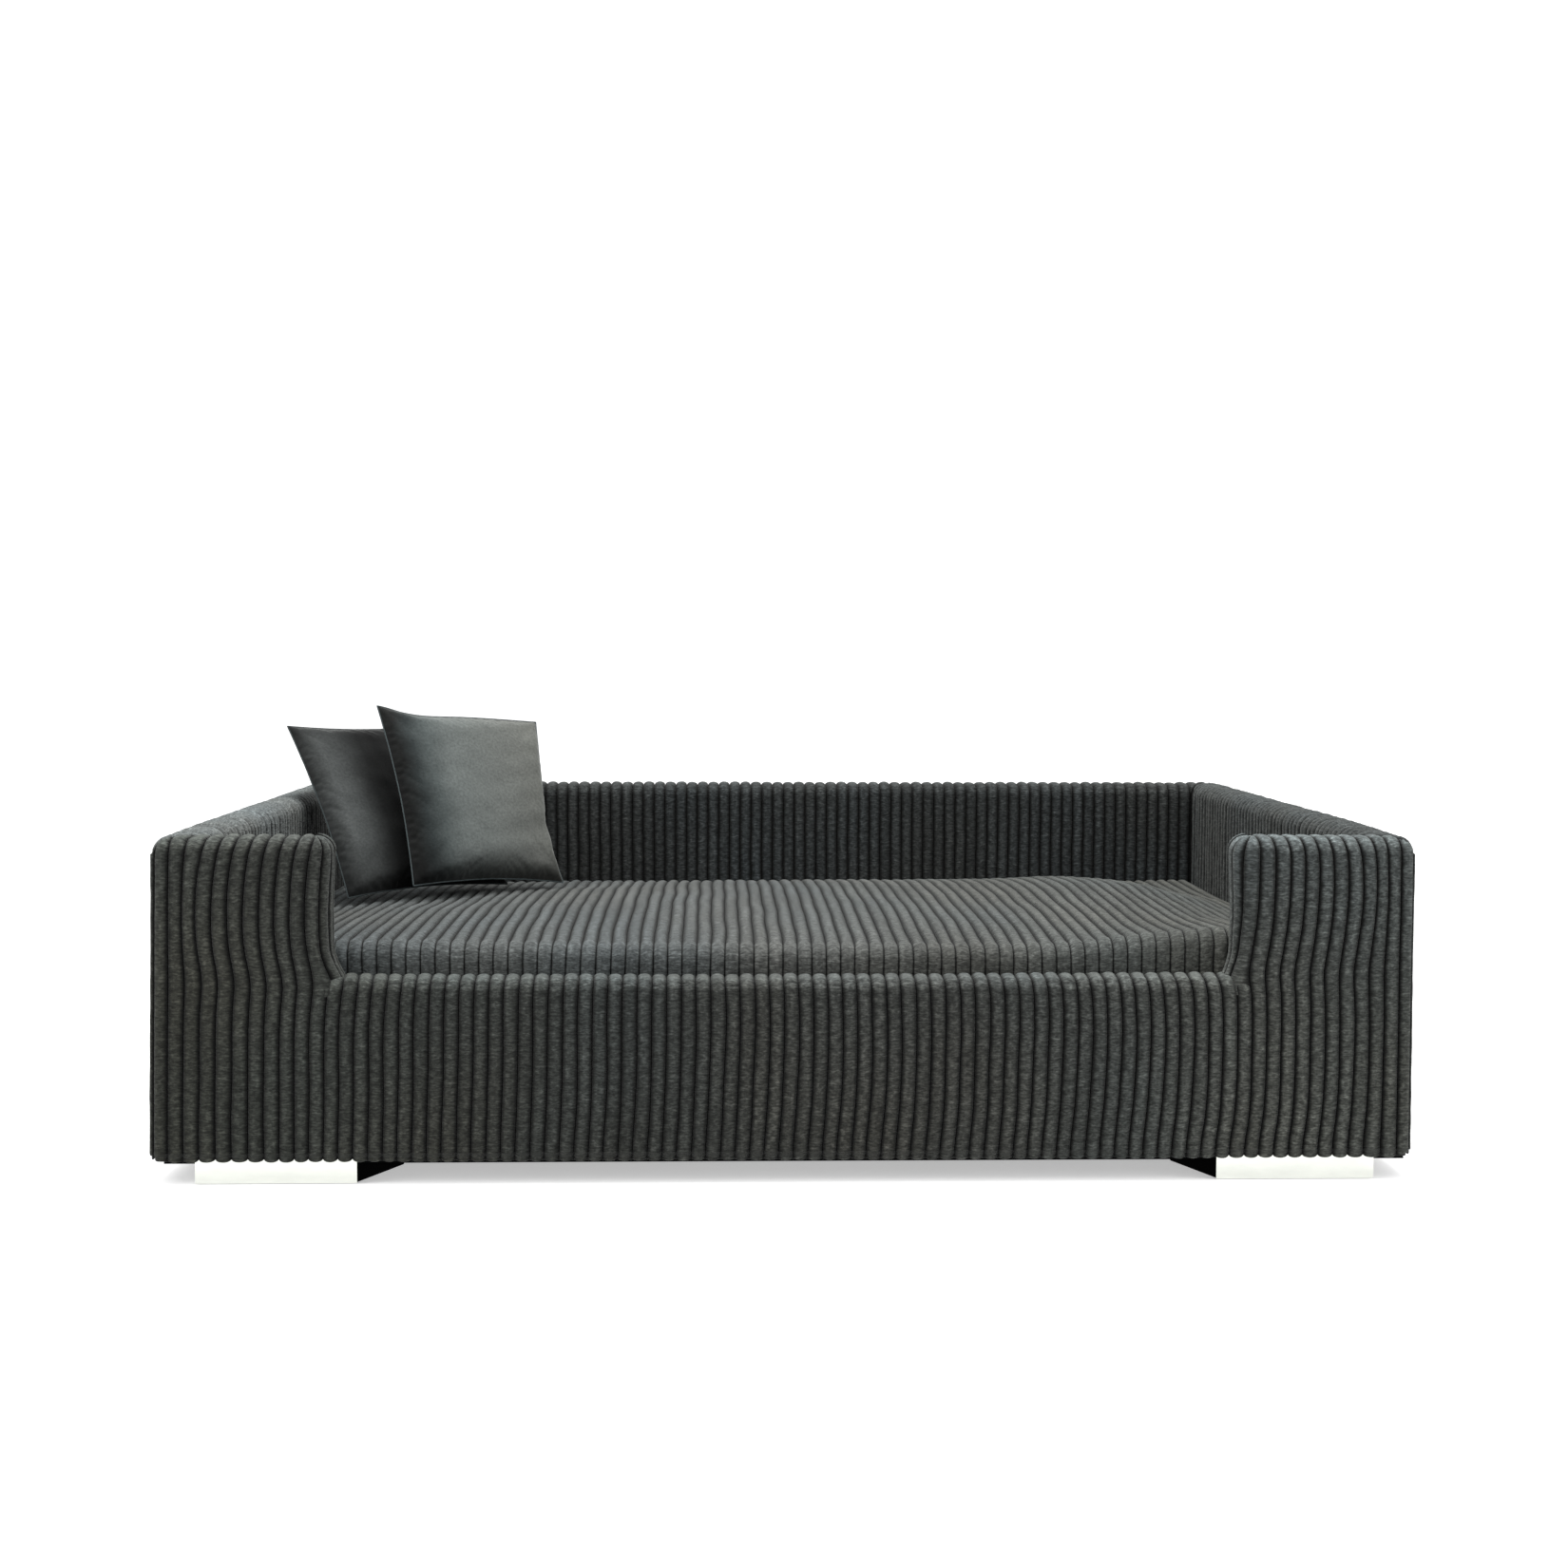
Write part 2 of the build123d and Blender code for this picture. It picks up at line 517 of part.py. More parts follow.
# zip on the lower back facet, parallel to the bottom edge
(s0, h0), (s1, h1) = PILLOW_LEVELS[1], PILLOW_LEVELS[2]
z_a, z_b = -PILLOW / 2 * s0, -PILLOW / 2 * s1
facet = math.atan2(h1 - h0, z_b - z_a)
fz, fy = (z_a + z_b) / 2, (h0 + h1) / 2
# facet frame: x along the pillow's x, y out of the facet, z up the facet
fac_pl = Plane(origin=(0, fy, fz), x_dir=(1, 0, 0), z_dir=(0, math.sin(facet), math.cos(facet)))
fac = fac_pl.location
HALF_Z = PILLOW_ZIP / 2
slot_cut = fac * bx(-HALF_Z, HALF_Z, -4.5, 0.5, -1.2, 1.2)
p_cover = one((outer_lens - inner_lens) - slot_cut)
p_tape = bx(-HALF_Z - 6, HALF_Z + 6, 0, TAPE_T, -PILLOW_TAPE_W / 2, PILLOW_TAPE_W / 2) + bx(-HALF_Z, HALF_Z, TAPE_T, TAPE_T + COIL_H, -COIL_W / 2, COIL_W / 2)
p_tape = fac * one(p_tape)
p_slider_x = HALF_Z - 10
sl = fac * (Pos(p_slider_x, TAPE_T, 0) * zip_slider())
pu = fac * (Pos(p_slider_x, TAPE_T, 0) * zip_pull(13.0))
pin_local = (p_slider_x, TAPE_T + 5.2, 0.0)


def facet_to_local(v, point=True):
    """From the facet's frame to the pillow's."""
    x, y, z = v
    yy = y * math.cos(facet) + z * math.sin(facet)
    zz = -y * math.sin(facet) + z * math.cos(facet)
    return (x, yy + (fy if point else 0), zz + (fz if point else 0))


for name, pose in (("rear", REAR_POSE), ("front", FRONT_POSE)):
    plane, m, up = frame_of(pose)
    loc = plane.location
    save(one(loc * p_cover), f"{name}_pillow_cover")
    save(one(loc * fill_lens), f"{name}_pillow_filling")
    save(one(loc * p_tape), f"{name}_pillow_zip")
    save(one(loc * sl), f"{name}_pillow_zip_slider")
    save(one(loc * pu), f"{name}_pillow_zip_pull")

    def world(v, point=True):
        out = [sum(m[k_][i] * v[k_] for k_ in range(3)) for i in range(3)]
        return [round(out[i] + (pose[0][i] if point else 0), 4) for i in range(3)]

    print(name, "slide axis (along the lean)", [round(u, 5) for u in up])
    print(name, "zip axis", world((1, 0, 0), False))
    print(name, "pull pin at", world(facet_to_local(pin_local)), "axis", world(facet_to_local((0, 0, 1), False), False))
print("seat pull pin", seat_slider_x, SEAT_BACK + TAPE_T + 5.2, ZIP_Z)
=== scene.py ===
import bpy
import math
import numpy as np
from mathutils import Matrix, Vector
from mathutils.bvhtree import BVHTree


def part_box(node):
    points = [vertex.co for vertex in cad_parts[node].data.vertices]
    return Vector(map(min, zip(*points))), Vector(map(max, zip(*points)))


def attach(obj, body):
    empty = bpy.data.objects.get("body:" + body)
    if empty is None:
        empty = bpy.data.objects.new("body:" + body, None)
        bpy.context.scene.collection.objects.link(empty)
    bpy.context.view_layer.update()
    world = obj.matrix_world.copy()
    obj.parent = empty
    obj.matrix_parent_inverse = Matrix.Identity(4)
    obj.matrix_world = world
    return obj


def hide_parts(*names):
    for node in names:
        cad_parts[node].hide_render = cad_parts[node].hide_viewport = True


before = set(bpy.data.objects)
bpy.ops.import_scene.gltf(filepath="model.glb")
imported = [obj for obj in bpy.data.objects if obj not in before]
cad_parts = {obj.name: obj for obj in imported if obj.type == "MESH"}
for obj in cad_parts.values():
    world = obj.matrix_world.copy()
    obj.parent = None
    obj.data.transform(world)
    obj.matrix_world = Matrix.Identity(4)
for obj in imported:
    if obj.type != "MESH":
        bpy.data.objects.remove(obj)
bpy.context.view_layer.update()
MM = 0.001

# ------------------------------------------------------------------------------------------------ sizes, millimetres
W2, D2 = 600.0, 400.0            # half width and half depth
TOP, SILL, HEM = 330.0, 196.0, 21.3
WALL = 45.0
R = 16.0                         # rounding of the covers' upper edges
RV = 9.0                         # rounding of the upright outer corners
R_SILL = 12.0
POST_SIDE = {-1: W2 - 164.0, 1: W2 - 170.0}          # side faces of the left and right front posts
IN_LOW = 118.6                   # lower end of the inner covers
PITCH = 14.07                    # wale to wale
WALE0 = -582.8                   # a groove of the front
CREST, GROOVE = 1.3, -3.0        # wale's crest and groove from the cover's plane


# ------------------------------------------------------------------------------------------------ helpers
def smooth(t):
    t = np.clip(t, 0.0, 1.0)
    return t * t * (3 - 2 * t)


def wave(x, y, seed, size=60.0, octaves=3):
    """Smooth repeatable noise from summed sines, about -1 to 1."""
    rng = np.random.RandomState(seed)
    out = np.zeros(np.broadcast(x, y).shape)
    total = 0.0
    for o in range(octaves):
        k = 2 ** o
        amp = 1.0 / k
        for _ in range(4):
            ang = rng.uniform(0, 2 * math.pi)
            fr = k * rng.uniform(0.6, 1.4) * 2 * math.pi / size
            ph = rng.uniform(0, 2 * math.pi)
            out = out + amp * np.sin((np.cos(ang) * x + np.sin(ang) * y) * fr + ph)
        total += amp * 2.0
    return out / total


TS = np.array([0.0, 0.045, 0.12, 0.24, 0.38, 0.5, 0.62, 0.76, 0.88, 0.955])


def wale_columns(u_start, u_end, first=WALE0, pitch=PITCH, ts=TS, extra=()):
    """Places across the wales: several to each wale, closer at its grooves, from u_start to u_end."""
    k0 = int(math.floor((u_start - first) / pitch)) - 1
    k1 = int(math.ceil((u_end - first) / pitch)) + 1
    us = (first + pitch * (np.arange(k0, k1)[:, None] + ts[None, :])).ravel()
    us = us[(us > u_start + 0.25) & (us < u_end - 0.25)]
    us = np.concatenate([[u_start], us, [u_end], list(extra)])
    us = np.unique(np.round(us, 4))
    return us


def wale_shape(u, first=WALE0, pitch=PITCH):
    """0 in the groove, 1 on the crest."""
    t = np.mod((u - first) / pitch, 1.0)
    return np.clip(1 - np.abs(2 * t - 1) ** 2.25, 0, 1) ** 0.56


def wale_number(u, first=WALE0, pitch=PITCH):
    return np.floor((u - first) / pitch + 1e-6)


def hash01(k, seed):
    v = np.sin(k * 12.9898 + seed * 78.233) * 43758.5453
    return v - np.floor(v)


def wale_height(u, v, seed, first=WALE0, pitch=PITCH, scale=1.0, lump=1.0):
    """Height of the cloth above its plane at wale place u and place v along the wale."""
    s = wale_shape(u, first, pitch)
    k = wale_number(u, first, pitch)
    own = 0.90 + 0.16 * hash01(k, seed)                       # each wale a little fuller or thinner
    along = 1.0 + 0.07 * wave(v + 40 * hash01(k, seed + 1) * 10, k * 37.0, seed + 2, 46.0, 2)
    pile = 0.16 * lump * wave(v * 1.0, u * 1.0 + k * 13.7, seed + 3, 17.0, 2) * s
    return scale * (GROOVE + (CREST - GROOVE) * s * own * along) + pile, s


class Cloth:
    """Collects grid patches and welds them into one mesh."""

    def __init__(self):
        self.v, self.s, self.c, self.q = [], [], [], []
        self.n = 0

    def grid(self, P, S, U, Vv, flip=False, keep=None):
        """P is rows x columns x 3 in mm, S the wale shade, U and Vv the cloth's own coordinates. keep says which columns' faces exist, row by row."""
        r, c = P.shape[:2]
        idx = self.n + np.arange(r * c).reshape(r, c)
        a, b, d, e = idx[:-1, :-1], idx[:-1, 1:], idx[1:, 1:], idx[1:, :-1]
        q = np.stack([a, b, d, e], -1)
        if keep is not None:
            q = q[keep]
        q = q.reshape(-1, 4)
        if flip:
            q = q[:, ::-1]
        self.v.append(P.reshape(-1, 3))
        self.s.append(np.broadcast_to(S, (r, c)).reshape(-1))
        U = np.broadcast_to(U, (r, c))
        Vv = np.broadcast_to(Vv, (r, c))
        self.c.append(np.stack([U.reshape(-1), Vv.reshape(-1)], -1))
        self.q.append(q)
        self.n += r * c

    def build(self, name, matrix=None, weld=0.02):
        V = np.concatenate(self.v)
        S = np.concatenate(self.s)
        C = np.concatenate(self.c)
        Q = np.concatenate(self.q)
        key = np.round(V / weld).astype(np.int64)
        _, first, inv = np.unique(key, axis=0, return_index=True, return_inverse=True)
        inv = inv.reshape(-1)
        V, S, C = V[first], S[first], C[first]
        Q = inv[Q]
        if matrix is not None:
            V = V @ matrix[:3, :3].T + matrix[:3, 3]
        V = V * MM
        # drop repeated corners
        same = [Q[:, i] == Q[:, (i + 1) % 4] for i in range(4)]
        n_same = sum(x.astype(int) for x in same)
        opposite = (Q[:, 0] == Q[:, 2]) | (Q[:, 1] == Q[:, 3])
        quads = Q[(n_same == 0) & ~opposite]
        tri_src = Q[(n_same == 1) & ~opposite]
        sm = np.stack(same, -1)[(n_same == 1) & ~opposite]
        tris = []
        if len(tri_src):
            keepm = ~sm
            tris = tri_src[keepm].reshape(-1, 3)
        used = np.zeros(len(V), bool)
        used[quads.ravel()] = True
        if len(tris):
            used[np.asarray(tris).ravel()] = True
        remap = np.cumsum(used) - 1
        V, S, C = V[used], S[used], C[used]
        quads = remap[quads]
        tris = remap[np.asarray(tris, int)] if len(tris) else np.zeros((0, 3), int)
        return mesh_object(name, V, quads, tris, {"wale": S, "cloth": np.stack([C[:, 0] * MM, C[:, 1] * MM, np.zeros(len(C))], -1)})


def mesh_object(name, V, quads, tris=None, attrs=None):
    me = bpy.data.meshes.new(name)
    quads = np.asarray(quads, np.int32).reshape(-1, 4)
    tris = np.zeros((0, 3), np.int32) if tris is None else np.asarray(tris, np.int32).reshape(-1, 3)
    me.vertices.add(len(V))
    me.vertices.foreach_set("co", np.asarray(V, np.float32).ravel())
    loops = np.concatenate([quads.ravel(), tris.ravel()]).astype(np.int32)
    me.loops.add(len(loops))
    me.loops.foreach_set("vertex_index", loops)
    me.polygons.add(len(quads) + len(tris))
    starts = np.concatenate([np.arange(len(quads)) * 4, len(quads) * 4 + np.arange(len(tris)) * 3]).astype(np.int32)
    me.polygons.foreach_set("loop_start", starts)
    me.polygons.foreach_set("use_smooth", np.ones(len(starts), bool))
    me.update(calc_edges=True)
    for k, a in (attrs or {}).items():
        a = np.asarray(a, np.float32)
        if a.ndim == 1:
            me.attributes.new(k, "FLOAT", "POINT").data.foreach_set("value", a)
        else:
            me.attributes.new(k, "FLOAT_VECTOR", "POINT").data.foreach_set("vector", a.ravel())
    me.validate()
    ob = bpy.data.objects.new(name, me)
    bpy.context.scene.collection.objects.link(ob)
    return ob


def rot_z(deg, at=(0, 0, 0)):
    a = math.radians(deg)
    m = np.eye(4)
    m[:2, :2] = [[math.cos(a), -math.sin(a)], [math.sin(a), math.cos(a)]]
    m[:3, 3] = at
    return m


# ------------------------------------------------------------------------------------------------ corduroy walls
def table(z, zs, vs):
    return np.interp(z, zs, vs)


LEAN_Z = [21, 40, 58, 76, 103, 130, 148, 166, 179.5, 188.5, 197.5, 206.5, 220, 233.5, 247, 265, 283, 301, 310, 317, 323, 330]
# sideways shift of the wales at heights LEAN_Z, at five places along the front
LEAN = {
    -590: [-0.5, -0.4, -0.4, -0.2, 0, 0.0, 0.2, 0.6, 1.4, 1.9, 1.8, 0.8, -1.2, -2.6, -3.4, -3.5, -2.8, -1.2, 0.2, 1.4, 2.2, 2.6],
    -540: [-0.7, -0.5, -0.4, -0.2, 0, 0.0, 0.1, 0.7, 1.6, 2.3, 2.0, 0.7, -1.9, -3.4, -4.1, -4.0, -2.8, -0.4, 1.3, 2.7, 4.0, 5.2],
    -470: [-1.2, -0.9, -0.7, -0.3, 0, 0.1, 0.5, 1.5, 2.9, 3.7, 3.2, 1.5, -1.2, -2.6, -3.3, -3.0, -1.8, 0.2, 1.8, 3.4, 4.9, 6.2],
    -425: [-1.9, -1.6, -1.1, -0.5, 0, 0.1, 0.5, 1.5, 2.8, 4.1, 3.6, 3.0, 0.6, -1.2, -2.0, -2.0, -1.2, 0.4, 1.4, 2.2, 3.0, 3.8],
    -300: [-3.2, -2.6, -1.7, -0.8, 0, 0.4, 0.6, 1.0, 1.4, 2.0, 2.2, 2.2, 2.2, 2.2, 2.2, 2.2, 2.2, 2.2, 2.2, 2.2, 2.2, 2.2],
    0: [-4.9, -4.0, -2.4, -1.1, 0, 0.7, 0.8, 0.7, 0.4, 0.0, -0.3, -0.3, -0.3, -0.3, -0.3, -0.3, -0.3, -0.3, -0.3, -0.3, -0.3, -0.3],
    300: [-5.6, -4.5, -2.7, -1.1, 0, 0.7, 1.0, 0.5, -0.2, -1.3, -1.9, -1.9, -1.9, -1.9, -1.9, -1.9, -1.9, -1.9, -1.9, -1.9, -1.9, -1.9],
    425: [-5.8, -4.8, -2.5, -1.2, 0, 0.4, 0.4, -0.4, -1.3, -2.6, -4.0, -4.2, -2.4, -0.4, 1.5, 3.0, 3.4, 3.5, 3.8, 4.6, 5.0, 5.0],
    470: [-5.8, -4.8, -2.4, -1.1, 0, 0.3, 0.2, -0.3, -1.0, -1.9, -2.8, -2.3, 0.5, 2.8, 4.8, 6.2, 6.5, 6.4, 6.0, 5.4, 4.6, 3.6],
    540: [-5.6, -4.7, -2.4, -1.0, 0, 0.1, 0.2, -0.2, -0.7, -1.0, -1.4, -0.8, 1.2, 3.0, 4.5, 5.9, 6.3, 5.7, 4.8, 3.7, 2.6, 1.4],
    590: [-4.6, -4.2, -2.2, -0.9, 0, 0.1, 0.1, -0.1, -0.4, -0.7, -0.9, -0.8, 0.8, 2.2, 3.6, 5.2, 5.8, 5.0, 4.2, 3.4, 2.6, 1.4],
}
LEAN_X = sorted(LEAN)
LEAN_GRID = np.array([LEAN[x] for x in LEAN_X])


def lean_front(u, z):
    """Sideways shift of the front's wales."""
    cols = np.stack([np.interp(z, LEAN_Z, g) for g in LEAN_GRID], -1)
    u = np.broadcast_to(u, z.shape)
    x = np.clip(u, LEAN_X[0], LEAN_X[-1])
    i = np.clip(np.searchsorted(LEAN_X, x) - 1, 0, len(LEAN_X) - 2)
    x0, x1 = np.array(LEAN_X)[i], np.array(LEAN_X)[i + 1]
    t = smooth((x - x0) / (x1 - x0))
    a = np.take_along_axis(cols, i[..., None], -1)[..., 0]
    b = np.take_along_axis(cols, (i + 1)[..., None], -1)[..., 0]
    return a * (1 - t) + b * t


def rows_vertical(z0, z1, step):
    n = max(2, int(round(abs(z1 - z0) / step)) + 1)
    return np.linspace(z0, z1, n)


HEM_TOP = 30.0                   # where the hem's own rows give way to the wall's


def hem_patch(cl, us, H, arcs, move, P_top, s_top, seed, first, pitch, fade):
    """The turned hem: flat under the base, a slot for the feet's lips, then each wale ending in its own round lobe. Meets the wall's lowest row."""
    n = len(us)
    o = np.ones(n)
    h, s = wale_height(us, 22.0 * o, seed, first, pitch)
    h = GROOVE + (h - GROOVE) * fade
    s = s * fade
    h = np.maximum(h, -1.35)
    k = wale_number(us, first, pitch)
    low = 24.4 - (2.9 + 0.5 * (hash01(k, seed + 5.0) - 0.5)) * s                   # lobe's lowest place
    if arcs:
        low = low + 5.5 * smooth((np.abs(us) - (H - RV - 9.0)) / 17.0)
    back = 1.72
    # the third value in each row scales the wale value; at 0, under the base, the cloth takes the groove's dark colour
    # as painted shade
    rows = [(29.0 * o, 21.75 * o, 0), (17.0 * o, 21.7 * o, 0), (9.5 * o, 21.6 * o, 0), (4.7 * o, 21.6 * o, 0), (3.9 * o, 22.3 * o, 0), (3.85 * o, np.maximum(26.4, low + 2.2), 0), (back * o, np.maximum(26.4, low + 2.2), 0.1)]
    mid, half = (back - h) / 2, (back + h) / 2
    for deg in (10, 45, 80, 110, 140, 172):
        a = math.radians(deg)
        rows.append((mid + half * math.cos(a), low + 1.7 * (1 - math.sin(a)), (0.2, 0.5, 0.75, 0.9, 1.0, 1.0)[(10, 45, 80, 110, 140, 172).index(deg)]))
    rows.append((-h, np.minimum(0.5 * (low + 1.7 + HEM_TOP - 2.0), HEM_TOP - 0.6), 1.0))
    E = np.array([r[0] for r in rows])
    Z = np.array([r[1] * o for r in rows])
    SH = np.array([r[2] * o for r in rows])
    U = np.broadcast_to(us, Z.shape)
    a, d, na, nd = plan_straight(U + move(U, Z), H, arcs)
    a, d = inset(a, d, na, nd, E, H)
    P = np.concatenate([np.stack([a, d, Z], -1), P_top[None]])
    S = np.concatenate([s[None] * SH, s_top[None]])
    U = np.broadcast_to(us, P.shape[:2])
    V = np.concatenate([Z - 25 - np.maximum(E, 0), np.full((1, n), HEM_TOP)])
    cl.grid(P, S, U, V)


def plan_straight(s, H, arcs, r=RV):
    """Plan place of path length s on a wall of half length H: along the wall, inward, and the outward normal."""
    a = np.array(s, float)
    d = np.zeros_like(a)
    na = np.zeros_like(a)
    nd = -np.ones_like(a)
    if arcs:
        e = np.abs(a) - (H - r)
        m = e > 0
        ph = np.clip(e / r, 0, math.pi / 2)
        sg = np.sign(a)
        a = np.where(m, sg * ((H - r) + r * np.sin(ph)), a)
        d = np.where(m, r - r * np.cos(ph), 0.0)
        na = np.where(m, sg * np.sin(ph), 0.0)
        nd = np.where(m, -np.cos(ph), -1.0)
    return a, d, na, nd


POST_END = {k: v + R - 1.6 for k, v in POST_SIDE.items()}          # where the front face of a post starts to turn, from the middle


def plan_post(s, POST_FRONT_END):
    """Plan path of the left post: outer corner, front face, inner corner, side, back corner. s is -(W2-R) .. on the front face."""
    a, d, na, nd = plan_straight(np.minimum(s, -POST_FRONT_END), W2, True)
    e = s + POST_FRONT_END
    arc = R * math.pi / 2
    side = WALL - 2 * R
    # front to side corner
    m = (e > 0) & (e <= arc)
    ph = np.clip(e / R, 0, math.pi / 2)
    a = np.where(m, -POST_FRONT_END + R * np.sin(ph), a)
    d = np.where(m, R - R * np.cos(ph), d)
    na = np.where(m, np.sin(ph), na)
    nd = np.where(m, -np.cos(ph), nd)
    # side
    m = (e > arc) & (e <= arc + side)
    a = np.where(m, -POST_FRONT_END + R, a)
    d = np.where(m, R + (e - arc), d)
    na = np.where(m, 1.0, na)
    nd = np.where(m, 0.0, nd)
    # side to inner face corner
    m = e > arc + side
    ph = np.clip((e - arc - side) / R, 0, math.pi / 2)
    a = np.where(m, -POST_FRONT_END + R * np.cos(ph), a)
    d = np.where(m, WALL - R + R * np.sin(ph), d)
    na = np.where(m, np.cos(ph), na)
    nd = np.where(m, np.sin(ph), nd)
    return a, d, na, nd


def top_path(n_flat=3, n_arc=6, top=TOP, r=R):
    """Rows over the top: inward distance, height, inward and up normal, as shares of the way."""
    rows = []
    for k in range(1, n_flat + 1):
        rows.append((r + (WALL - 2 * r) * k / n_flat, top, 0.0, 1.0))
    for k in range(1, n_arc + 1):
        a = math.radians(90 * k / n_arc)
        rows.append((WALL - r + r * math.sin(a), top - r + r * math.cos(a), math.sin(a), math.cos(a)))
    return rows


def inset(a, d, na, nd, e, H):
    """Moves a wall's place inward by e; past the corner's rounding it stays on the mitre."""
    return np.clip(a - na * e, -(H - e), H - e), np.where(e > RV, np.maximum(d - nd * e, e), d - nd * e)


def over_top(d, top=TOP, r=R):
    """Height and normal of the top surface at inward distance d (from r inward)."""
    e = np.clip(d - (WALL - r), 0, r)
    z = np.where(d > WALL - r, top - r + np.sqrt(np.maximum(r * r - e * e, 0)), top)
    nd = np.where(d > WALL - r, e / r, 0.0)
    nz = np.sqrt(np.maximum(1 - nd * nd, 0))
    return z, nd, nz


def seam_fade(dist, reach=3.0):
    """Drops the cloth into a seam."""
    return smooth(np.abs(dist) / reach)


def put(cl, a, d, z, na, nd, nz, u, v, seed, first, pitch, share=1.0, fade=1.0, keep=None, extra=0.0, dark=0.0):
    """Adds one ribbed patch from base places and normals."""
    h, s = wale_height(u, v, seed, first, pitch)
    h = GROOVE + (h - GROOVE) * fade
    h = h * share + extra
    # s becomes the wale value, which the material turns into colour with painted shade in the grooves; fade and dark
    # lower it, so seams and creases are painted dark too
    s = s * np.clip(fade, 0, 1) * (1 - dark)
    P = np.stack([a + na * h, d + nd * h, z + nz * h], -1)
    cl.grid(P, s, u, v, keep=keep)
    return P, s


def seam_allowance(cl, H):
    """The cloth's turned-in edge under each mitre, from the top's outer edge down the inner corner."""
    rows = [(R, TOP, 0.0, 1.0)] + top_path() + [(WALL, z, 1.0, 0.0) for z in np.linspace(TOP - R, IN_LOW, 8)[1:]]
    dd, z, nd, nz = (np.array(c)[:, None] for c in zip(*rows))
    for sgn in (-1, 1):
        w = np.array([-10.0, -4.0, 0.0, 5.0]) if sgn > 0 else np.array([5.0, 0.0, -4.0, -10.0])
        a = sgn * (H - dd + w[None, :])
        o = np.ones(a.shape)
        P = np.stack([a, (dd - 3.1 * nd) * o, (z - 3.1 * nz) * o], -1)
        cl.grid(P, 0.0 * o, a, np.arange(len(dd))[:, None] * 9.0 * o)


def build_wall(name, H, arcs, deg, at, seed, first, pitch=PITCH, lean=None, mitre_from=None):
    """A full-height wall cover: local x along the wall, y inward from its outer plane, z up."""
    cl = Cloth()
    arc = RV * math.pi / 2
    end = H - RV + (arc if arcs else 0.0)
    # columns also at the mitre's inner corners
    us = wale_columns(-end, end, first, pitch, extra=(-(H - R), H - R, -(H - RV), H - RV, -(H - WALL), H - WALL))
    n = len(us)
    seam = seam_fade(end - np.abs(us), 2.0)

    def shift(u, z):
        w = smooth((H - R - np.abs(u)) / 60.0)
        base = (lean(u, z) if lean is not None else 0.0)
        return (base + 0.5 * wave(u, z * 1.6, seed + 9, 210.0, 2) + 0.25 * wave(u * 3.0, z, seed + 10, 90.0, 1)) * w

    # vertical and outer top rounding
    zr = rows_vertical(HEM_TOP, TOP - R, 8.0)
    lam = np.radians(np.linspace(0, 90, 7))[1:]
    ev = np.concatenate([np.zeros(len(zr)), R * (1 - np.cos(lam))])[:, None] * np.ones(n)
    zv = np.concatenate([zr, TOP - R + R * np.sin(lam)])[:, None] * np.ones(n)
    cv = np.concatenate([np.ones(len(zr)), np.cos(lam)])[:, None] * np.ones(n)
    sv = np.concatenate([np.zeros(len(zr)), np.sin(lam)])[:, None] * np.ones(n)
    arcv = np.concatenate([zr, TOP - R + R * lam])[:, None] * np.ones(n)
    U = np.broadcast_to(us, zv.shape)
    sp = U + shift(U, np.minimum(zv, TOP))
    a, d, na, nd = plan_straight(sp, H, arcs)
    a, d = inset(a, d, na, nd, ev, H)
    near = np.where(ev > 0.1, seam_fade((H - ev) - np.abs(a), 3.0), 1.0)
    P0, s0 = put(cl, a, d, zv, na * cv, nd * cv, sv, U, arcv, seed, first, pitch, fade=np.minimum(seam, near))
    hem_patch(cl, us, H, arcs, shift, P0[0], s0[0], seed, first, pitch, seam)
    # over the top, to the mitre at the ends
    inside = np.abs(us) <= H - R + 1e-6
    ui = us[inside]
    n2 = len(ui)
    d_end = np.minimum(WALL, H - np.abs(ui))
    fr = np.array([0.0, 0.15, 0.3, 0.45, 0.6, 0.72, 0.82, 0.91, 1.0])
    # share of the way along the top's length, flat then round
    flat_len, arc_len = WALL - 2 * R, R * math.pi / 2

    def to_len(dd):
        ee = np.clip((dd - (WALL - R)) / R, 0, 1)
        return np.where(dd <= WALL - R, dd - R, flat_len + R * np.arcsin(ee))

    def from_len(L):
        return np.where(L <= flat_len, R + L, WALL - R + R * np.sin(np.clip((L - flat_len) / R, 0, math.pi / 2)))

    L = fr[:, None] * to_len(d_end)[None, :]
    dd = from_len(L)
    z, nd_in, nz = over_top(dd)
    U = np.broadcast_to(ui, dd.shape)
    sh0 = shift(U, np.full(dd.shape, TOP)) * (1 - smooth(L / 38.0))
    mit = seam_fade((d_end[None, :] - dd) * np.where(np.abs(U) > H - WALL + 0.01, 1.0, 1e3) + (0 if True else 0), 3.0)
    # near the mitre's line also along the wall
    near = seam_fade((H - np.abs(U)) - dd, 3.0)
    fade = np.minimum(seam_fade(end - np.abs(U)), np.where(np.abs(U) > H - WALL - 4, near, 1.0))
    put(cl, U + sh0, dd, z, 0 * z, nd_in, nz, U, TOP - R + R * math.pi / 2 + L, seed, first, pitch, fade=fade)
    # inner face
    innermost = np.abs(us) <= H - WALL + 1e-6
    ui = us[innermost]
    zr = rows_vertical(TOP - R, IN_LOW, 9.0)
    z = zr[:, None] * np.ones(len(ui))
    U = np.broadcast_to(ui, z.shape)
    dx = 0.5 * wave(U, z * 1.6, seed + 19, 210.0, 2) * smooth((TOP - R - z) / 60.0) * smooth((H - WALL - np.abs(U)) / 40.0)
    fade = np.minimum(seam_fade((H - WALL) - np.abs(U)), 1.0)
    dx = dx + (-GROOVE + 0.3) * (1 - fade) * np.sign(U)
    Lt = flat_len + arc_len
    put(cl, U + dx, np.full(z.shape, WALL), z, 0 * z, np.ones(z.shape), 0 * z, U, TOP - R + R * math.pi / 2 + Lt + (TOP - R - z), seed, first, pitch, fade=fade)
    seam_allowance(cl, H)
    ob = cl.build(name, rot_z(deg, at))
    return ob


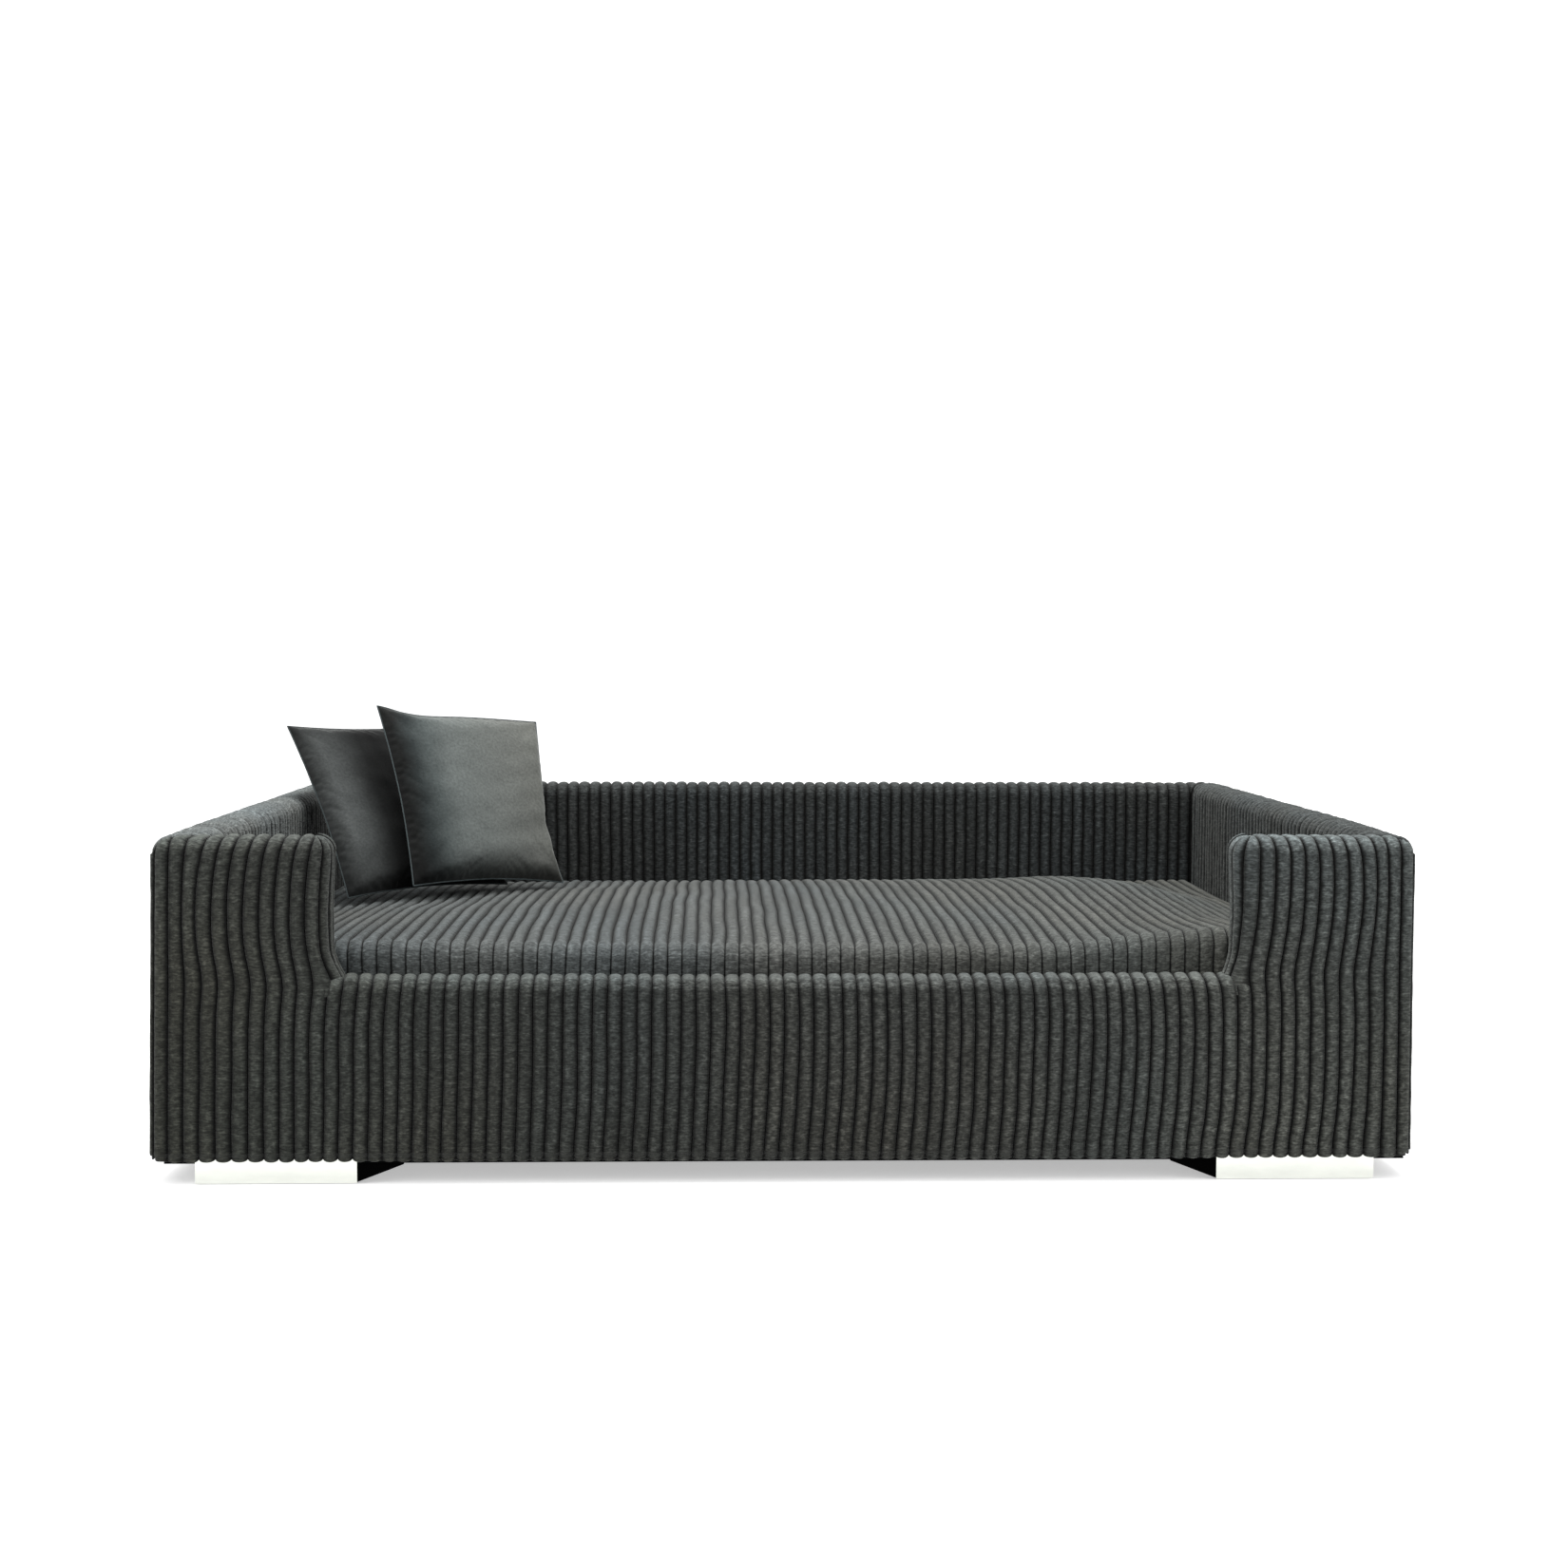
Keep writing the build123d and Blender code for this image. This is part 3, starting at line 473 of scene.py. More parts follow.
def build_front(name, seed=3):
    """The front cover: one cloth over the low middle and both posts, round the outer corners."""
    cl = Cloth()
    H = W2
    arc = RV * math.pi / 2
    end = H - RV + arc
    side_len = R * math.pi + (WALL - 2 * R)
    us = wale_columns(-end, end, extra=(-(H - R), H - R, -(H - RV), H - RV, -(H - WALL), H - WALL))
    left_cut = us[np.argmin(np.abs(us + POST_END[-1] + 8.0))]
    right_cut = us[np.argmin(np.abs(us - POST_END[1] - 8.0))]
    n = len(us)
    z_cut = 180.0

    def shift(u, z):
        w = smooth((H - R - np.abs(u)) / 34.0) * 0.9 + 0.1
        w = np.where(np.abs(u) > H - R, 0.1 * (1 - np.clip((np.abs(u) - (H - R)) / (R - RV + arc), 0, 1)), w)
        return (lean_front(u, z) + 0.35 * wave(u, z * 1.6, seed + 9, 210.0, 2) + 0.3 * wave(u * 3.0, z, seed + 10, 90.0, 1)) * w

    def bow(u, z):
        """The cloth stands a little fuller half way up the low front and on the posts."""
        return 0.8 * np.sin(np.pi * np.clip((z - HEM) / (SILL - HEM), 0, 1)) * smooth((H - R - np.abs(u)) / 80.0)

    seam = seam_fade(end - np.abs(us), 2.0)
    zr = rows_vertical(HEM_TOP, z_cut, 7.6)
    z = zr[:, None] * np.ones(n)
    U = np.broadcast_to(us, z.shape)
    sp = U + shift(U, z)
    a, d, na, nd = plan_straight(sp, H, True)
    P0, s0 = put(cl, a, d, z, na, nd, 0 * z, U, z, seed, WALE0, PITCH, fade=seam, extra=bow(U, z))
    hem_patch(cl, us, H, True, shift, P0[0], s0[0], seed, WALE0, PITCH, seam)

    # the low middle: over the sill and down inside
    mid = (us >= left_cut - 1e-6) & (us <= right_cut + 1e-6)
    um = us[mid]
    lam = np.radians(np.linspace(0, 90, 9))
    lam_in = np.radians(np.linspace(0, 90, 6))[1:]
    fl = np.linspace(R_SILL, WALL - R_SILL, 4)[1:]
    zs_ = rows_vertical(SILL - R_SILL, IN_LOW, 9.0)[1:]
    dr = np.concatenate([[0.0, 0.0, 0.0], R_SILL * (1 - np.cos(lam)), fl, WALL - R_SILL + R_SILL * np.sin(lam_in), np.full(len(zs_), WALL)])
    zr = np.concatenate([[z_cut, z_cut + 1.5, z_cut + 2.8], SILL - R_SILL + R_SILL * np.sin(lam), np.full(len(fl), SILL), SILL - R_SILL + R_SILL * np.cos(lam_in), zs_])
    nd_ = np.concatenate([[-1.0, -1.0, -1.0], -np.cos(lam), np.zeros(len(fl)), np.sin(lam_in), np.ones(len(zs_))])
    nz_ = np.concatenate([[0.0, 0.0, 0.0], np.sin(lam), np.ones(len(fl)), np.cos(lam_in), np.zeros(len(zs_))])
    seg = np.concatenate([[0.0], np.cumsum(np.hypot(np.diff(dr), np.diff(zr)))])
    o = np.ones(len(um))
    d, z, nd, nz, v = (x[:, None] * o for x in (dr, zr, nd_, nz_, z_cut + seg))
    U = np.broadcast_to(um, d.shape)
    # the crimp just under the sill's edge, and bumps on it; the crimp's pinch is also painted darker (painted shade in
    # the crease)
    kk = wale_number(U)
    pinch = np.exp(-((v - (z_cut + 13.0 + 5.0 * (hash01(kk, 13.0) - 0.5))) / 1.9) ** 2) * (0.05 + 0.80 * hash01(kk, 11.0)) * wale_shape(U)
    crimp = -1.3 * pinch + 1.0 * np.exp(-((v - (z_cut + 18.0)) / 4.5) ** 2) * (0.2 + 0.9 * hash01(kk, 12.0)) * wale_shape(U)
    sag = 0.7 * wave(U, 0 * U, 71, 330.0, 2) * np.clip(nz, 0, 1)
    dx = shift(U, np.minimum(z, SILL)) * (1 - smooth((d - 8) / 30.0))
    b = bow(U, z) * np.where(d < 1, 1.0, 0.0)
    post_tuck = smooth((np.abs(U) - (np.where(U < 0, POST_END[-1], POST_END[1]) - 6)) / 10.0)
    put(cl, U + dx, d, z + sag - 1.0 * post_tuck * np.clip(nz, 0, 1), 0 * z, nd, nz, U, v, seed, WALE0, PITCH, extra=crimp + b, dark=0.38 * pinch)

    # the posts
    for sgn in (-1, 1):
        POST_FRONT_END = POST_END[sgn]
        lap = 1.5 if sgn < 0 else 4.2                            # how far the top and the inner face run under the side's rounding
        cut = left_cut if sgn < 0 else -right_cut
        full = us if sgn < 0 else -us[::-1]                      # mirrored so that the post is always the left one
        extra_cols = wale_columns(-POST_FRONT_END - 30, -POST_FRONT_END + side_len, WALE0 if sgn < 0 else -(WALE0 + 0.0), PITCH)
        up = full[full <= cut + 1e-6]
        more = extra_cols[extra_cols > cut + 1e-3]
        up = np.concatenate([up, more])
        first = WALE0 if sgn < 0 else -WALE0

        def lean_of(u, z):
            # the real place along the front, sign kept
            real = np.clip(u, -end, -POST_FRONT_END + 22.0)
            val = shift(sgn * -1 * real, z) * (-sgn)
            return val

        zr = rows_vertical(z_cut, TOP - R, 7.6)
        la = np.radians(np.linspace(0, 90, 7))[1:]
        ev = np.concatenate([np.zeros(len(zr)), R * (1 - np.cos(la))])[:, None] * np.ones(len(up))
        z = np.concatenate([zr, TOP - R + R * np.sin(la)])[:, None] * np.ones(len(up))
        cv = np.concatenate([np.ones(len(zr)), np.cos(la)])[:, None] * np.ones(len(up))
        sv = np.concatenate([np.zeros(len(zr)), np.sin(la)])[:, None] * np.ones(len(up))
        vv = np.concatenate([zr, TOP - R + R * la])[:, None] * np.ones(len(up))
        U = np.broadcast_to(up, z.shape)
        s_end = -POST_FRONT_END + side_len
        taper = 1 - smooth((U - (-POST_FRONT_END)) / side_len)
        sp = np.minimum(U + lean_of(U, z) * taper, s_end)
        a, d, na, nd = plan_post(sp, POST_FRONT_END)
        # the side face is full, draws in half way up and flares onto the sill at its foot
        side = smooth((sp + POST_FRONT_END) / (R * 1.2)) * (1 - smooth((sp - (s_end - R * 1.2)) / (R * 1.2)) * 0.4)
        flare = 10.0 * np.clip((225.0 - z) / 34.0, 0, 1.25) ** 2.0
        puff = 2.2 * np.clip((z - 262.0) / 50.0, 0, 1) + 0.6
        if sgn < 0:
            puff = puff - 3.2 * smooth((z - 196.0) / 30.0)
        a = a + side * (flare + puff)
        fade = seam_fade(end - np.abs(U), 2.0) * np.ones_like(z)
        fade = np.minimum(fade, seam_fade(s_end - U, 2.0))
        hh, ss = wale_height(U if sgn < 0 else -U, vv, seed, WALE0, PITCH)
        # the wales on the narrow side are pulled thinner
        thin = 1 - 0.35 * smooth((sp + POST_FRONT_END - 6) / 14.0)
        ai, di = a - na * ev, d - nd * ev
        corner = (U < -(H - RV) + 0.01) | (ai < -(H - ev))
        ai = np.maximum(ai, -(H - ev))
        di = np.where(corner & (ev > RV), np.maximum(di, ev), di)
        near = np.where(ev > 0.1, seam_fade(H - ev + ai, 3.0), 1.0)
        hh = (GROOVE + (hh - GROOVE) * np.minimum(fade, near)) * thin + bow(U, z) * np.where(ev < 0.1, 1.0, 0.0)
        # fuller where side, back and top meet
        hh = hh + 1.3 * smooth((sp - (s_end - R * math.pi / 2 - 2.0)) / 6.0) * smooth((z - (TOP - R) + 4.0) / 10.0)
        P = np.stack([(ai + na * cv * hh) * (1 if sgn < 0 else -1), di + nd * cv * hh, z + sv * hh], -1)
        cl.grid(P, ss * fade, U if sgn < 0 else -U, vv, flip=sgn > 0)
        # over the top
        ui = np.append(up[(up >= -(H - R) - 1e-6) & (up < -POST_FRONT_END + 3.9)], -POST_FRONT_END + 7.0)
        d_end = np.minimum(WALL, H - np.abs(ui))
        fr = np.array([0.0, 0.15, 0.3, 0.45, 0.6, 0.72, 0.82, 0.91, 1.0])
        flat_len, arc_len = WALL - 2 * R, R * math.pi / 2
        ee = np.clip((d_end - (WALL - R)) / R, 0, 1)
        Ltot = np.where(d_end <= WALL - R, d_end - R, flat_len + R * np.arcsin(ee))
        L = fr[:, None] * Ltot[None, :]
        dd = np.where(L <= flat_len, R + L, WALL - R + R * np.sin(np.clip((L - flat_len) / R, 0, math.pi / 2)))
        z, nd_in, nz = over_top(dd)
        U = np.broadcast_to(ui, dd.shape)
        dx = lean_of(U, np.full(dd.shape, TOP)) * (1 - smooth(L / 40.0))
        fade = np.where(np.abs(U) > H - WALL - 4, seam_fade((H - np.abs(U)) - dd, 3.0), 1.0)
        hh, ss = wale_height(U if sgn < 0 else -U, TOP - R + R * math.pi / 2 + L, seed, WALE0, PITCH)
        hh = GROOVE + (hh - GROOVE) * fade
        aa = np.minimum(U + dx, -POST_FRONT_END + lap)
        drop = 1.2 * smooth((aa + POST_FRONT_END + 3.0) / 4.0)
        P = np.stack([aa if sgn < 0 else -aa, dd + nd_in * hh, z - drop + nz * hh], -1)
        cl.grid(P, ss * fade, U if sgn < 0 else -U, TOP - R + R * math.pi / 2 + L, flip=sgn > 0)
        # the post's inner face
        ui = np.append(up[(up >= -(H - WALL) - 1e-6) & (up < -POST_FRONT_END + 3.9)], -POST_FRONT_END + 7.0)
        zr = rows_vertical(TOP - R, IN_LOW, 9.0)
        z = zr[:, None] * np.ones(len(ui))
        U = np.broadcast_to(ui, z.shape)
        hh, ss = wale_height(U if sgn < 0 else -U, TOP - R + R * math.pi + (WALL - 2 * R) + (TOP - R - z), seed, WALE0, PITCH)
        fade = seam_fade((H - WALL) - np.abs(U))
        hh = GROOVE + (hh - GROOVE) * fade
        aa = np.minimum(U, -POST_FRONT_END + lap)
        aa = aa - (-GROOVE + 0.3) * (1 - fade)
        P = np.stack([aa if sgn < 0 else -aa, WALL + hh, z], -1)
        cl.grid(P, ss * fade, U if sgn < 0 else -U, TOP - R + R * math.pi + (WALL - 2 * R) + (TOP - R - z), flip=sgn > 0)
    seam_allowance(cl, H)
    return cl.build(name, rot_z(0, (0, -D2, 0)))


def fuller_corners(ob):
    """The cloth stands out a little at the front corners, and the filled tops of the arms and the back stand a little high."""
    me = ob.data
    co = np.empty(len(me.vertices) * 3, np.float32)
    me.vertices.foreach_get("co", co)
    co = co.reshape(-1, 3).astype(float)
    x, y, z = co[:, 0] / MM, co[:, 1] / MM, co[:, 2] / MM
    w = smooth((np.abs(x) - 480.0) / 110.0) * smooth((-y - 240.0) / 140.0)
    # only the outer side moves
    w = w * np.maximum(smooth((np.abs(x) - 560.0) / 30.0), smooth((-y - 372.0) / 20.0))
    left = np.interp(z, [20, 100, 200, 330], [8.0, 6.8, 4.8, 2.4])
    right = np.interp(z, [20, 100, 200, 330], [2.2, 1.4, 0.9, 0.2])
    co[:, 0] += np.where(x < 0, -left, right) * w * MM
    rise = np.interp(y, [-400, -356, -260, 400], [0.9, 1.2, 3.0, 3.4])
    co[:, 2] += rise * smooth((z - 180.0) / 150.0) * MM
    me.vertices.foreach_set("co", co.astype(np.float32).ravel())
    me.update()


front = build_front("front_corduroy_cover")
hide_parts("left_post_cover", "right_post_cover", "front_sill_cover")
back = build_wall("back_corduroy_cover", W2, True, 180, (0, D2, 0), 21, WALE0 + 3.0)
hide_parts("back_wall_cover")
left_arm = build_wall("left_arm_corduroy_cover", D2, False, 270, (-W2, 0, 0), 33, -(D2 - RV), 2 * (D2 - RV) / 56)
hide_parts("left_arm_cover")
right_arm = build_wall("right_arm_corduroy_cover", D2, False, 90, (W2, 0, 0), 45, -(D2 - RV), 2 * (D2 - RV) / 56)
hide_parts("right_arm_cover")
for ob in (front, back, left_arm, right_arm):
    fuller_corners(ob)
for ob in (front, back, left_arm, right_arm):
    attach(ob, "frame")


# ------------------------------------------------------------------------------------------------ pressure simulation
def inflate(ob, pressure, frames, reach=None, stiff=40.0, comp=10.0, bend=0.5, pin=None):
    """Blows the closed mesh up with cloth pressure, frame by frame, and gives back where its points came to."""
    m = ob.modifiers.new("Cloth", "CLOTH")
    s = m.settings
    s.quality = 6
    s.mass = 0.15
    s.tension_stiffness = stiff
    s.compression_stiffness = comp
    s.shear_stiffness = stiff * 0.5
    s.bending_stiffness = bend
    s.use_pressure = True
    s.uniform_pressure_force = pressure
    s.effector_weights.gravity = 0.0
    if pin:
        s.vertex_group_mass = pin
    m.point_cache.frame_start = 1
    m.point_cache.frame_end = frames
    sc = bpy.context.scene
    sc.frame_start, sc.frame_end = 1, frames
    co = None
    for f in range(1, frames + 1):
        sc.frame_set(f)
        ev = ob.evaluated_get(bpy.context.evaluated_depsgraph_get())
        co = np.empty(len(ev.data.vertices) * 3, np.float32)
        ev.data.vertices.foreach_get("co", co)
        co = co.reshape(-1, 3).astype(float)
        if reach is not None and reach(co):
            break
    ob.modifiers.remove(m)
    sc.frame_set(1)
    return co


def cubic(x, xs, V, axis=0):
    """Smooth curve through the values V at the places xs, along the axis, read at the places x (1-D)."""
    V = np.moveaxis(np.asarray(V, float), axis, 0)
    xs = np.asarray(xs, float)
    sl = np.zeros_like(V)
    dx = np.diff(xs).reshape((-1,) + (1,) * (V.ndim - 1))
    d = np.diff(V, axis=0) / dx
    sl[0], sl[-1] = d[0], d[-1]
    w = dx[1:] / (dx[1:] + dx[:-1])
    sl[1:-1] = d[:-1] * w + d[1:] * (1 - w)
    i = np.clip(np.searchsorted(xs, x, side="right") - 1, 0, len(xs) - 2)
    h = xs[i + 1] - xs[i]
    t = (np.asarray(x) - xs[i]) / h
    sh = (-1,) + (1,) * (V.ndim - 1)
    t, h = t.reshape(sh), h.reshape(sh)
    h00, h10, h01, h11 = 2 * t ** 3 - 3 * t ** 2 + 1, t ** 3 - 2 * t ** 2 + t, -2 * t ** 3 + 3 * t ** 2, t ** 3 - t ** 2
    out = h00 * V[i] + h10 * h * sl[i] + h01 * V[i + 1] + h11 * h * sl[i + 1]
    return np.moveaxis(out, 0, axis)


# ------------------------------------------------------------------------------------------------ pillows' places
PILLOW = 232.0
REAR_POSE = ((-450.41, 141.57, 319.7), 33.69, 42.7, 0.38)
FRONT_POSE = ((-357.5, 139.77, 332.9), 25.12, 41.01, 3.44)
PILLOW_LEVELS = [(1.0, 3.2), (0.86, 14.5), (0.62, 23.0), (0.30, 27.5)]


def pose_matrix(pose):
    (cx, cy, cz), lean, turn, roll = pose
    a, b, r = math.radians(lean), math.radians(turn), math.radians(roll)
    ry = np.array([[math.cos(r), 0, math.sin(r)], [0, 1, 0], [-math.sin(r), 0, math.cos(r)]])
    rx = np.array([[1, 0, 0], [0, math.cos(a), math.sin(a)], [0, -math.sin(a), math.cos(a)]])
    rz = np.array([[math.cos(b), -math.sin(b), 0], [math.sin(b), math.cos(b), 0], [0, 0, 1]])
    m = np.eye(4)
    m[:3, :3] = rz @ rx @ ry
    m[:3, 3] = (cx, cy, cz)
    return m


M_REAR, M_FRONT = pose_matrix(REAR_POSE), pose_matrix(FRONT_POSE)


def foot_line(M):
    """The pillow's bottom edge, from corner to corner."""
    h = PILLOW / 2
    return [(M @ np.array([s * h, 0, -h, 1]))[:3] for s in (-1, 1)]


# ------------------------------------------------------------------------------------------------ seat cushion
SX, SYF, SYB, SZB, SR = 552.0, -352.0, 340.0, 119.4, 16.0
TOP_X = [-536, -440, -300, -150, 0, 150, 270, 350, 430, 490, 536]
TOP_Y = [-336, -280, -200, -60, 70, 180, 265, 324]
TOP_H = [
    [217, 224.5, 223.5, 221.5, 220.5, 220.5, 221, 229.5, 235.5, 231.5, 222.5],
    [214.5, 224.5, 225, 224, 223.5, 224, 224.5, 228, 232, 228, 218.5],
    [212, 223, 227, 227.5, 227.5, 227.5, 228, 229, 228, 221, 211],
    [210, 219, 227, 230, 230, 228, 229, 234, 229.5, 218, 209.5],
    [209, 216, 223, 227, 228, 226.5, 229, 235.5, 230, 215, 208],
    [208.6, 212, 217, 221, 223, 223, 225, 229, 222, 210, 207.5],
    [208.5, 210, 212, 214, 215, 216, 217, 218, 213, 208.5, 207.2],
    [208, 208, 208.5, 209, 209, 209, 209, 209, 208.5, 207.8, 207.2],
]


def seat_top(x, y):
    """Height of the cushion's top at columns x and rows y (grid), before its wales."""
    rows = cubic(x, TOP_X, np.maximum(TOP_H, 208.9), axis=1)              # len(TOP_Y) x len(x)
    g = np.maximum(cubic(y, TOP_Y, rows, axis=0), 208.6)                  # len(y) x len(x)
    X, Y = np.meshgrid(x, y)
    # lower under and round the pillows that press into it
    for M in (M_REAR, M_FRONT):
        a, b = foot_line(M)
        ab = (b - a)[:2]
        t = np.clip(((X - a[0]) * ab[0] + (Y - a[1]) * ab[1]) / (ab @ ab), 0, 1)
        dist = np.hypot(X - a[0] - t * ab[0], Y - a[1] - t * ab[1])
        side = (X - a[0]) * ab[1] - (Y - a[1]) * ab[0]        # over 0 on the viewer's side
        lim = 217.6 + np.where(side > 0, 0.105, 0.03) * np.maximum(dist - 6.0, 0)
        k = 3.0
        g = -k * np.logaddexp(-g / k, -lim / k)
    return g + 0.9 * wave(X, Y, 401, 260.0, 2)


def seat_rows(us, top=None):
    """Places and normals round the cushion, rows x columns: under, front, top, back. Returns also the length v and the row's part."""
    x = np.clip(us, -(SX - SR), SX - SR)
    phi = np.clip((np.abs(us) - (SX - SR)) / SR, 0, math.pi / 2)
    ys = np.concatenate([np.linspace(SYF + SR, SYF + SR + 60, 7)[:-1], np.linspace(SYF + SR + 60, SYB - SR, 40)])
    if top is None:
        top = seat_top(x, ys)
    gx = np.gradient(top, axis=1) / np.maximum(np.gradient(x), 1e-6)[None, :]
    gx[:, np.abs(us) > SX - SR - 3] = 0
    gy = np.gradient(top, ys, axis=0)
    n = len(us)
    one_ = np.ones(n)
    Y, Z, NY, NZ, NX, part = [], [], [], [], [], []

    def add(y, z, ny, nz, p, nx=None):
        Y.append(y * one_)
        Z.append(z * one_)
        NY.append(ny * one_)
        NZ.append(nz * one_)
        NX.append(0 * one_ if nx is None else nx)
        part.append(p)

    for k in range(4):
        a = math.radians(90 * k / 4)
        add(SYF + SR - SR * math.sin(a), SZB + SR - SR * math.cos(a), -math.sin(a), -math.cos(a), 0)
    tf, tb = top[0], top[-1]
    for k in range(9):
        t = k / 8
        add(SYF, SZB + SR + (tf - SR - SZB - SR) * t, -1.0, 0.0, 1)
    for k in range(1, 6):
        a = math.radians(90 * k / 6)
        add(SYF + SR - SR * math.cos(a), tf - SR + SR * math.sin(a), -math.cos(a), math.sin(a), 2)
    for j, y in enumerate(ys):
        nn = np.sqrt(1 + gx[j] ** 2 + gy[j] ** 2)
        add(y, top[j], -gy[j] / nn, 1 / nn, 3, -gx[j] / nn)
    for k in range(1, 6):
        a = math.radians(90 * k / 6)
        add(SYB - SR + SR * math.sin(a), tb - SR + SR * math.cos(a), math.sin(a), math.cos(a), 4)
    for k in range(9):
        t = k / 8
        add(SYB, tb - SR + (SZB + SR - tb + SR) * t, 1.0, 0.0, 5)
    for k in range(1, 5):
        a = math.radians(90 * k / 4)
        add(SYB - SR + SR * math.cos(a), SZB + SR - SR * math.sin(a), math.cos(a), -math.sin(a), 6)
    for y in np.linspace(SYB - SR, SYF + SR, 20)[1:]:
        add(y, SZB, 0.0, -1.0, 7)
    Y, Z, NY, NZ, NX = (np.array(q) for q in (Y, Z, NY, NZ, NX))
    part = np.array(part)
    mid = n // 2
    v = np.concatenate([[0], np.cumsum(np.hypot(np.diff(Y[:, mid]), np.diff(Z[:, mid])))])[:, None] * one_
    e = SR * (1 - np.cos(phi))
    c, s = np.cos(phi), np.sin(phi) * np.sign(us)
    X = (x + s * SR)[None, :] - NX * e
    Y2 = Y - NY * e
    Z2 = Z - NZ * e
    P = np.stack([X, Y2, Z2], -1)
    N_ = np.stack([NX * c + s, NY * c, NZ * c], -1)
    N_ /= np.linalg.norm(N_, axis=-1, keepdims=True)
    return P, N_, v, part, ys, top


def seat_caps(cl, top_edge, ys, side, cols, ribs=True, lift=0.0):
    """The cushion's end borders, with upright wales."""
    zt = np.interp(cols, ys, top_edge) - SR
    t = np.linspace(0, 1, 11)
    Z = SZB + SR + (zt - SZB - SR)[None, :] * t[:, None]
    Yc = np.broadcast_to(cols, Z.shape)
    if ribs:
        h, s = wale_height(Yc, Z, 77, SYF + SR, 14.0)
        edge = np.minimum(np.minimum(Yc - cols[0], cols[-1] - Yc), np.minimum(Z - Z[0], Z[-1] - Z))
        f = smooth(edge / 4.0)
        h = GROOVE + (h - GROOVE) * f
        s = s * f
    else:
        h, s = np.zeros(Z.shape), np.zeros(Z.shape)
    P = np.stack([side * (SX + h - lift), Yc, Z], -1)
    cl.grid(P, s, Yc, Z, flip=side < 0)


def seat_lift():
    """How far the filling pushes the cover out, from a pressure simulation of the plain closed form, as rows x coarse columns."""
    cu = np.concatenate([[-(SX - SR) - SR], np.linspace(-(SX - SR), SX - SR, 45), [SX]])
    P, Nn, v, part, ys, top = seat_rows(cu)
    n_all = len(part)
    # the last row is the first one again
    P, Nn, part = P[:-1], Nn[:-1], part[:-1]
    rows, cols = P.shape[:2]
    V = P.reshape(-1, 3)
    idx = np.arange(rows * cols).reshape(rows, cols)
    ring = np.concatenate([idx, idx[:1]])
    Q = np.stack([ring[:-1, :-1], ring[1:, :-1], ring[1:, 1:], ring[:-1, 1:]], -1).reshape(-1, 4)
    # close both ends with a fan to a middle point
    ends, extra = [], []
    for c, flip in ((0, False), (cols - 1, True)):
        mid = len(V) + len(extra)
        extra.append(V[idx[:, c]].mean(0))
        r = ring[:, c]
        for i in range(len(r) - 1):
            tri = [r[i], mid, r[i + 1]]
            ends.append(tri[::-1] if flip else tri)
    V = np.concatenate([V, np.array(extra)])
    ob = mesh_object("seat_form", V * MM, Q[:, ::-1], np.array(ends)[:, ::-1])
    free = np.repeat(part == 3, cols) & np.tile((np.arange(cols) > 0) & (np.arange(cols) < cols - 1), rows)
    vg = ob.vertex_groups.new(name="held")
    held = np.concatenate([~free, [True, True]])
    vg.add([int(i) for i in np.nonzero(held)[0]], 1.0, "REPLACE")

    def reach(co):
        up = (co[:rows * cols, 2] / MM - P.reshape(-1, 3)[:, 2])[free]
        return up.max() > 3.0

    co = inflate(ob, 0.25, 24, reach, 30.0, 12.0, 0.5, pin="held")
    D = ((co[:rows * cols] / MM - P.reshape(-1, 3)) * Nn.reshape(-1, 3)).sum(-1).reshape(rows, cols)
    me = ob.data
    bpy.data.objects.remove(ob)
    bpy.data.meshes.remove(me)
    D = np.concatenate([D, D[:1]])[:n_all]
    return cu, np.clip(D, 0.0, 4.0)


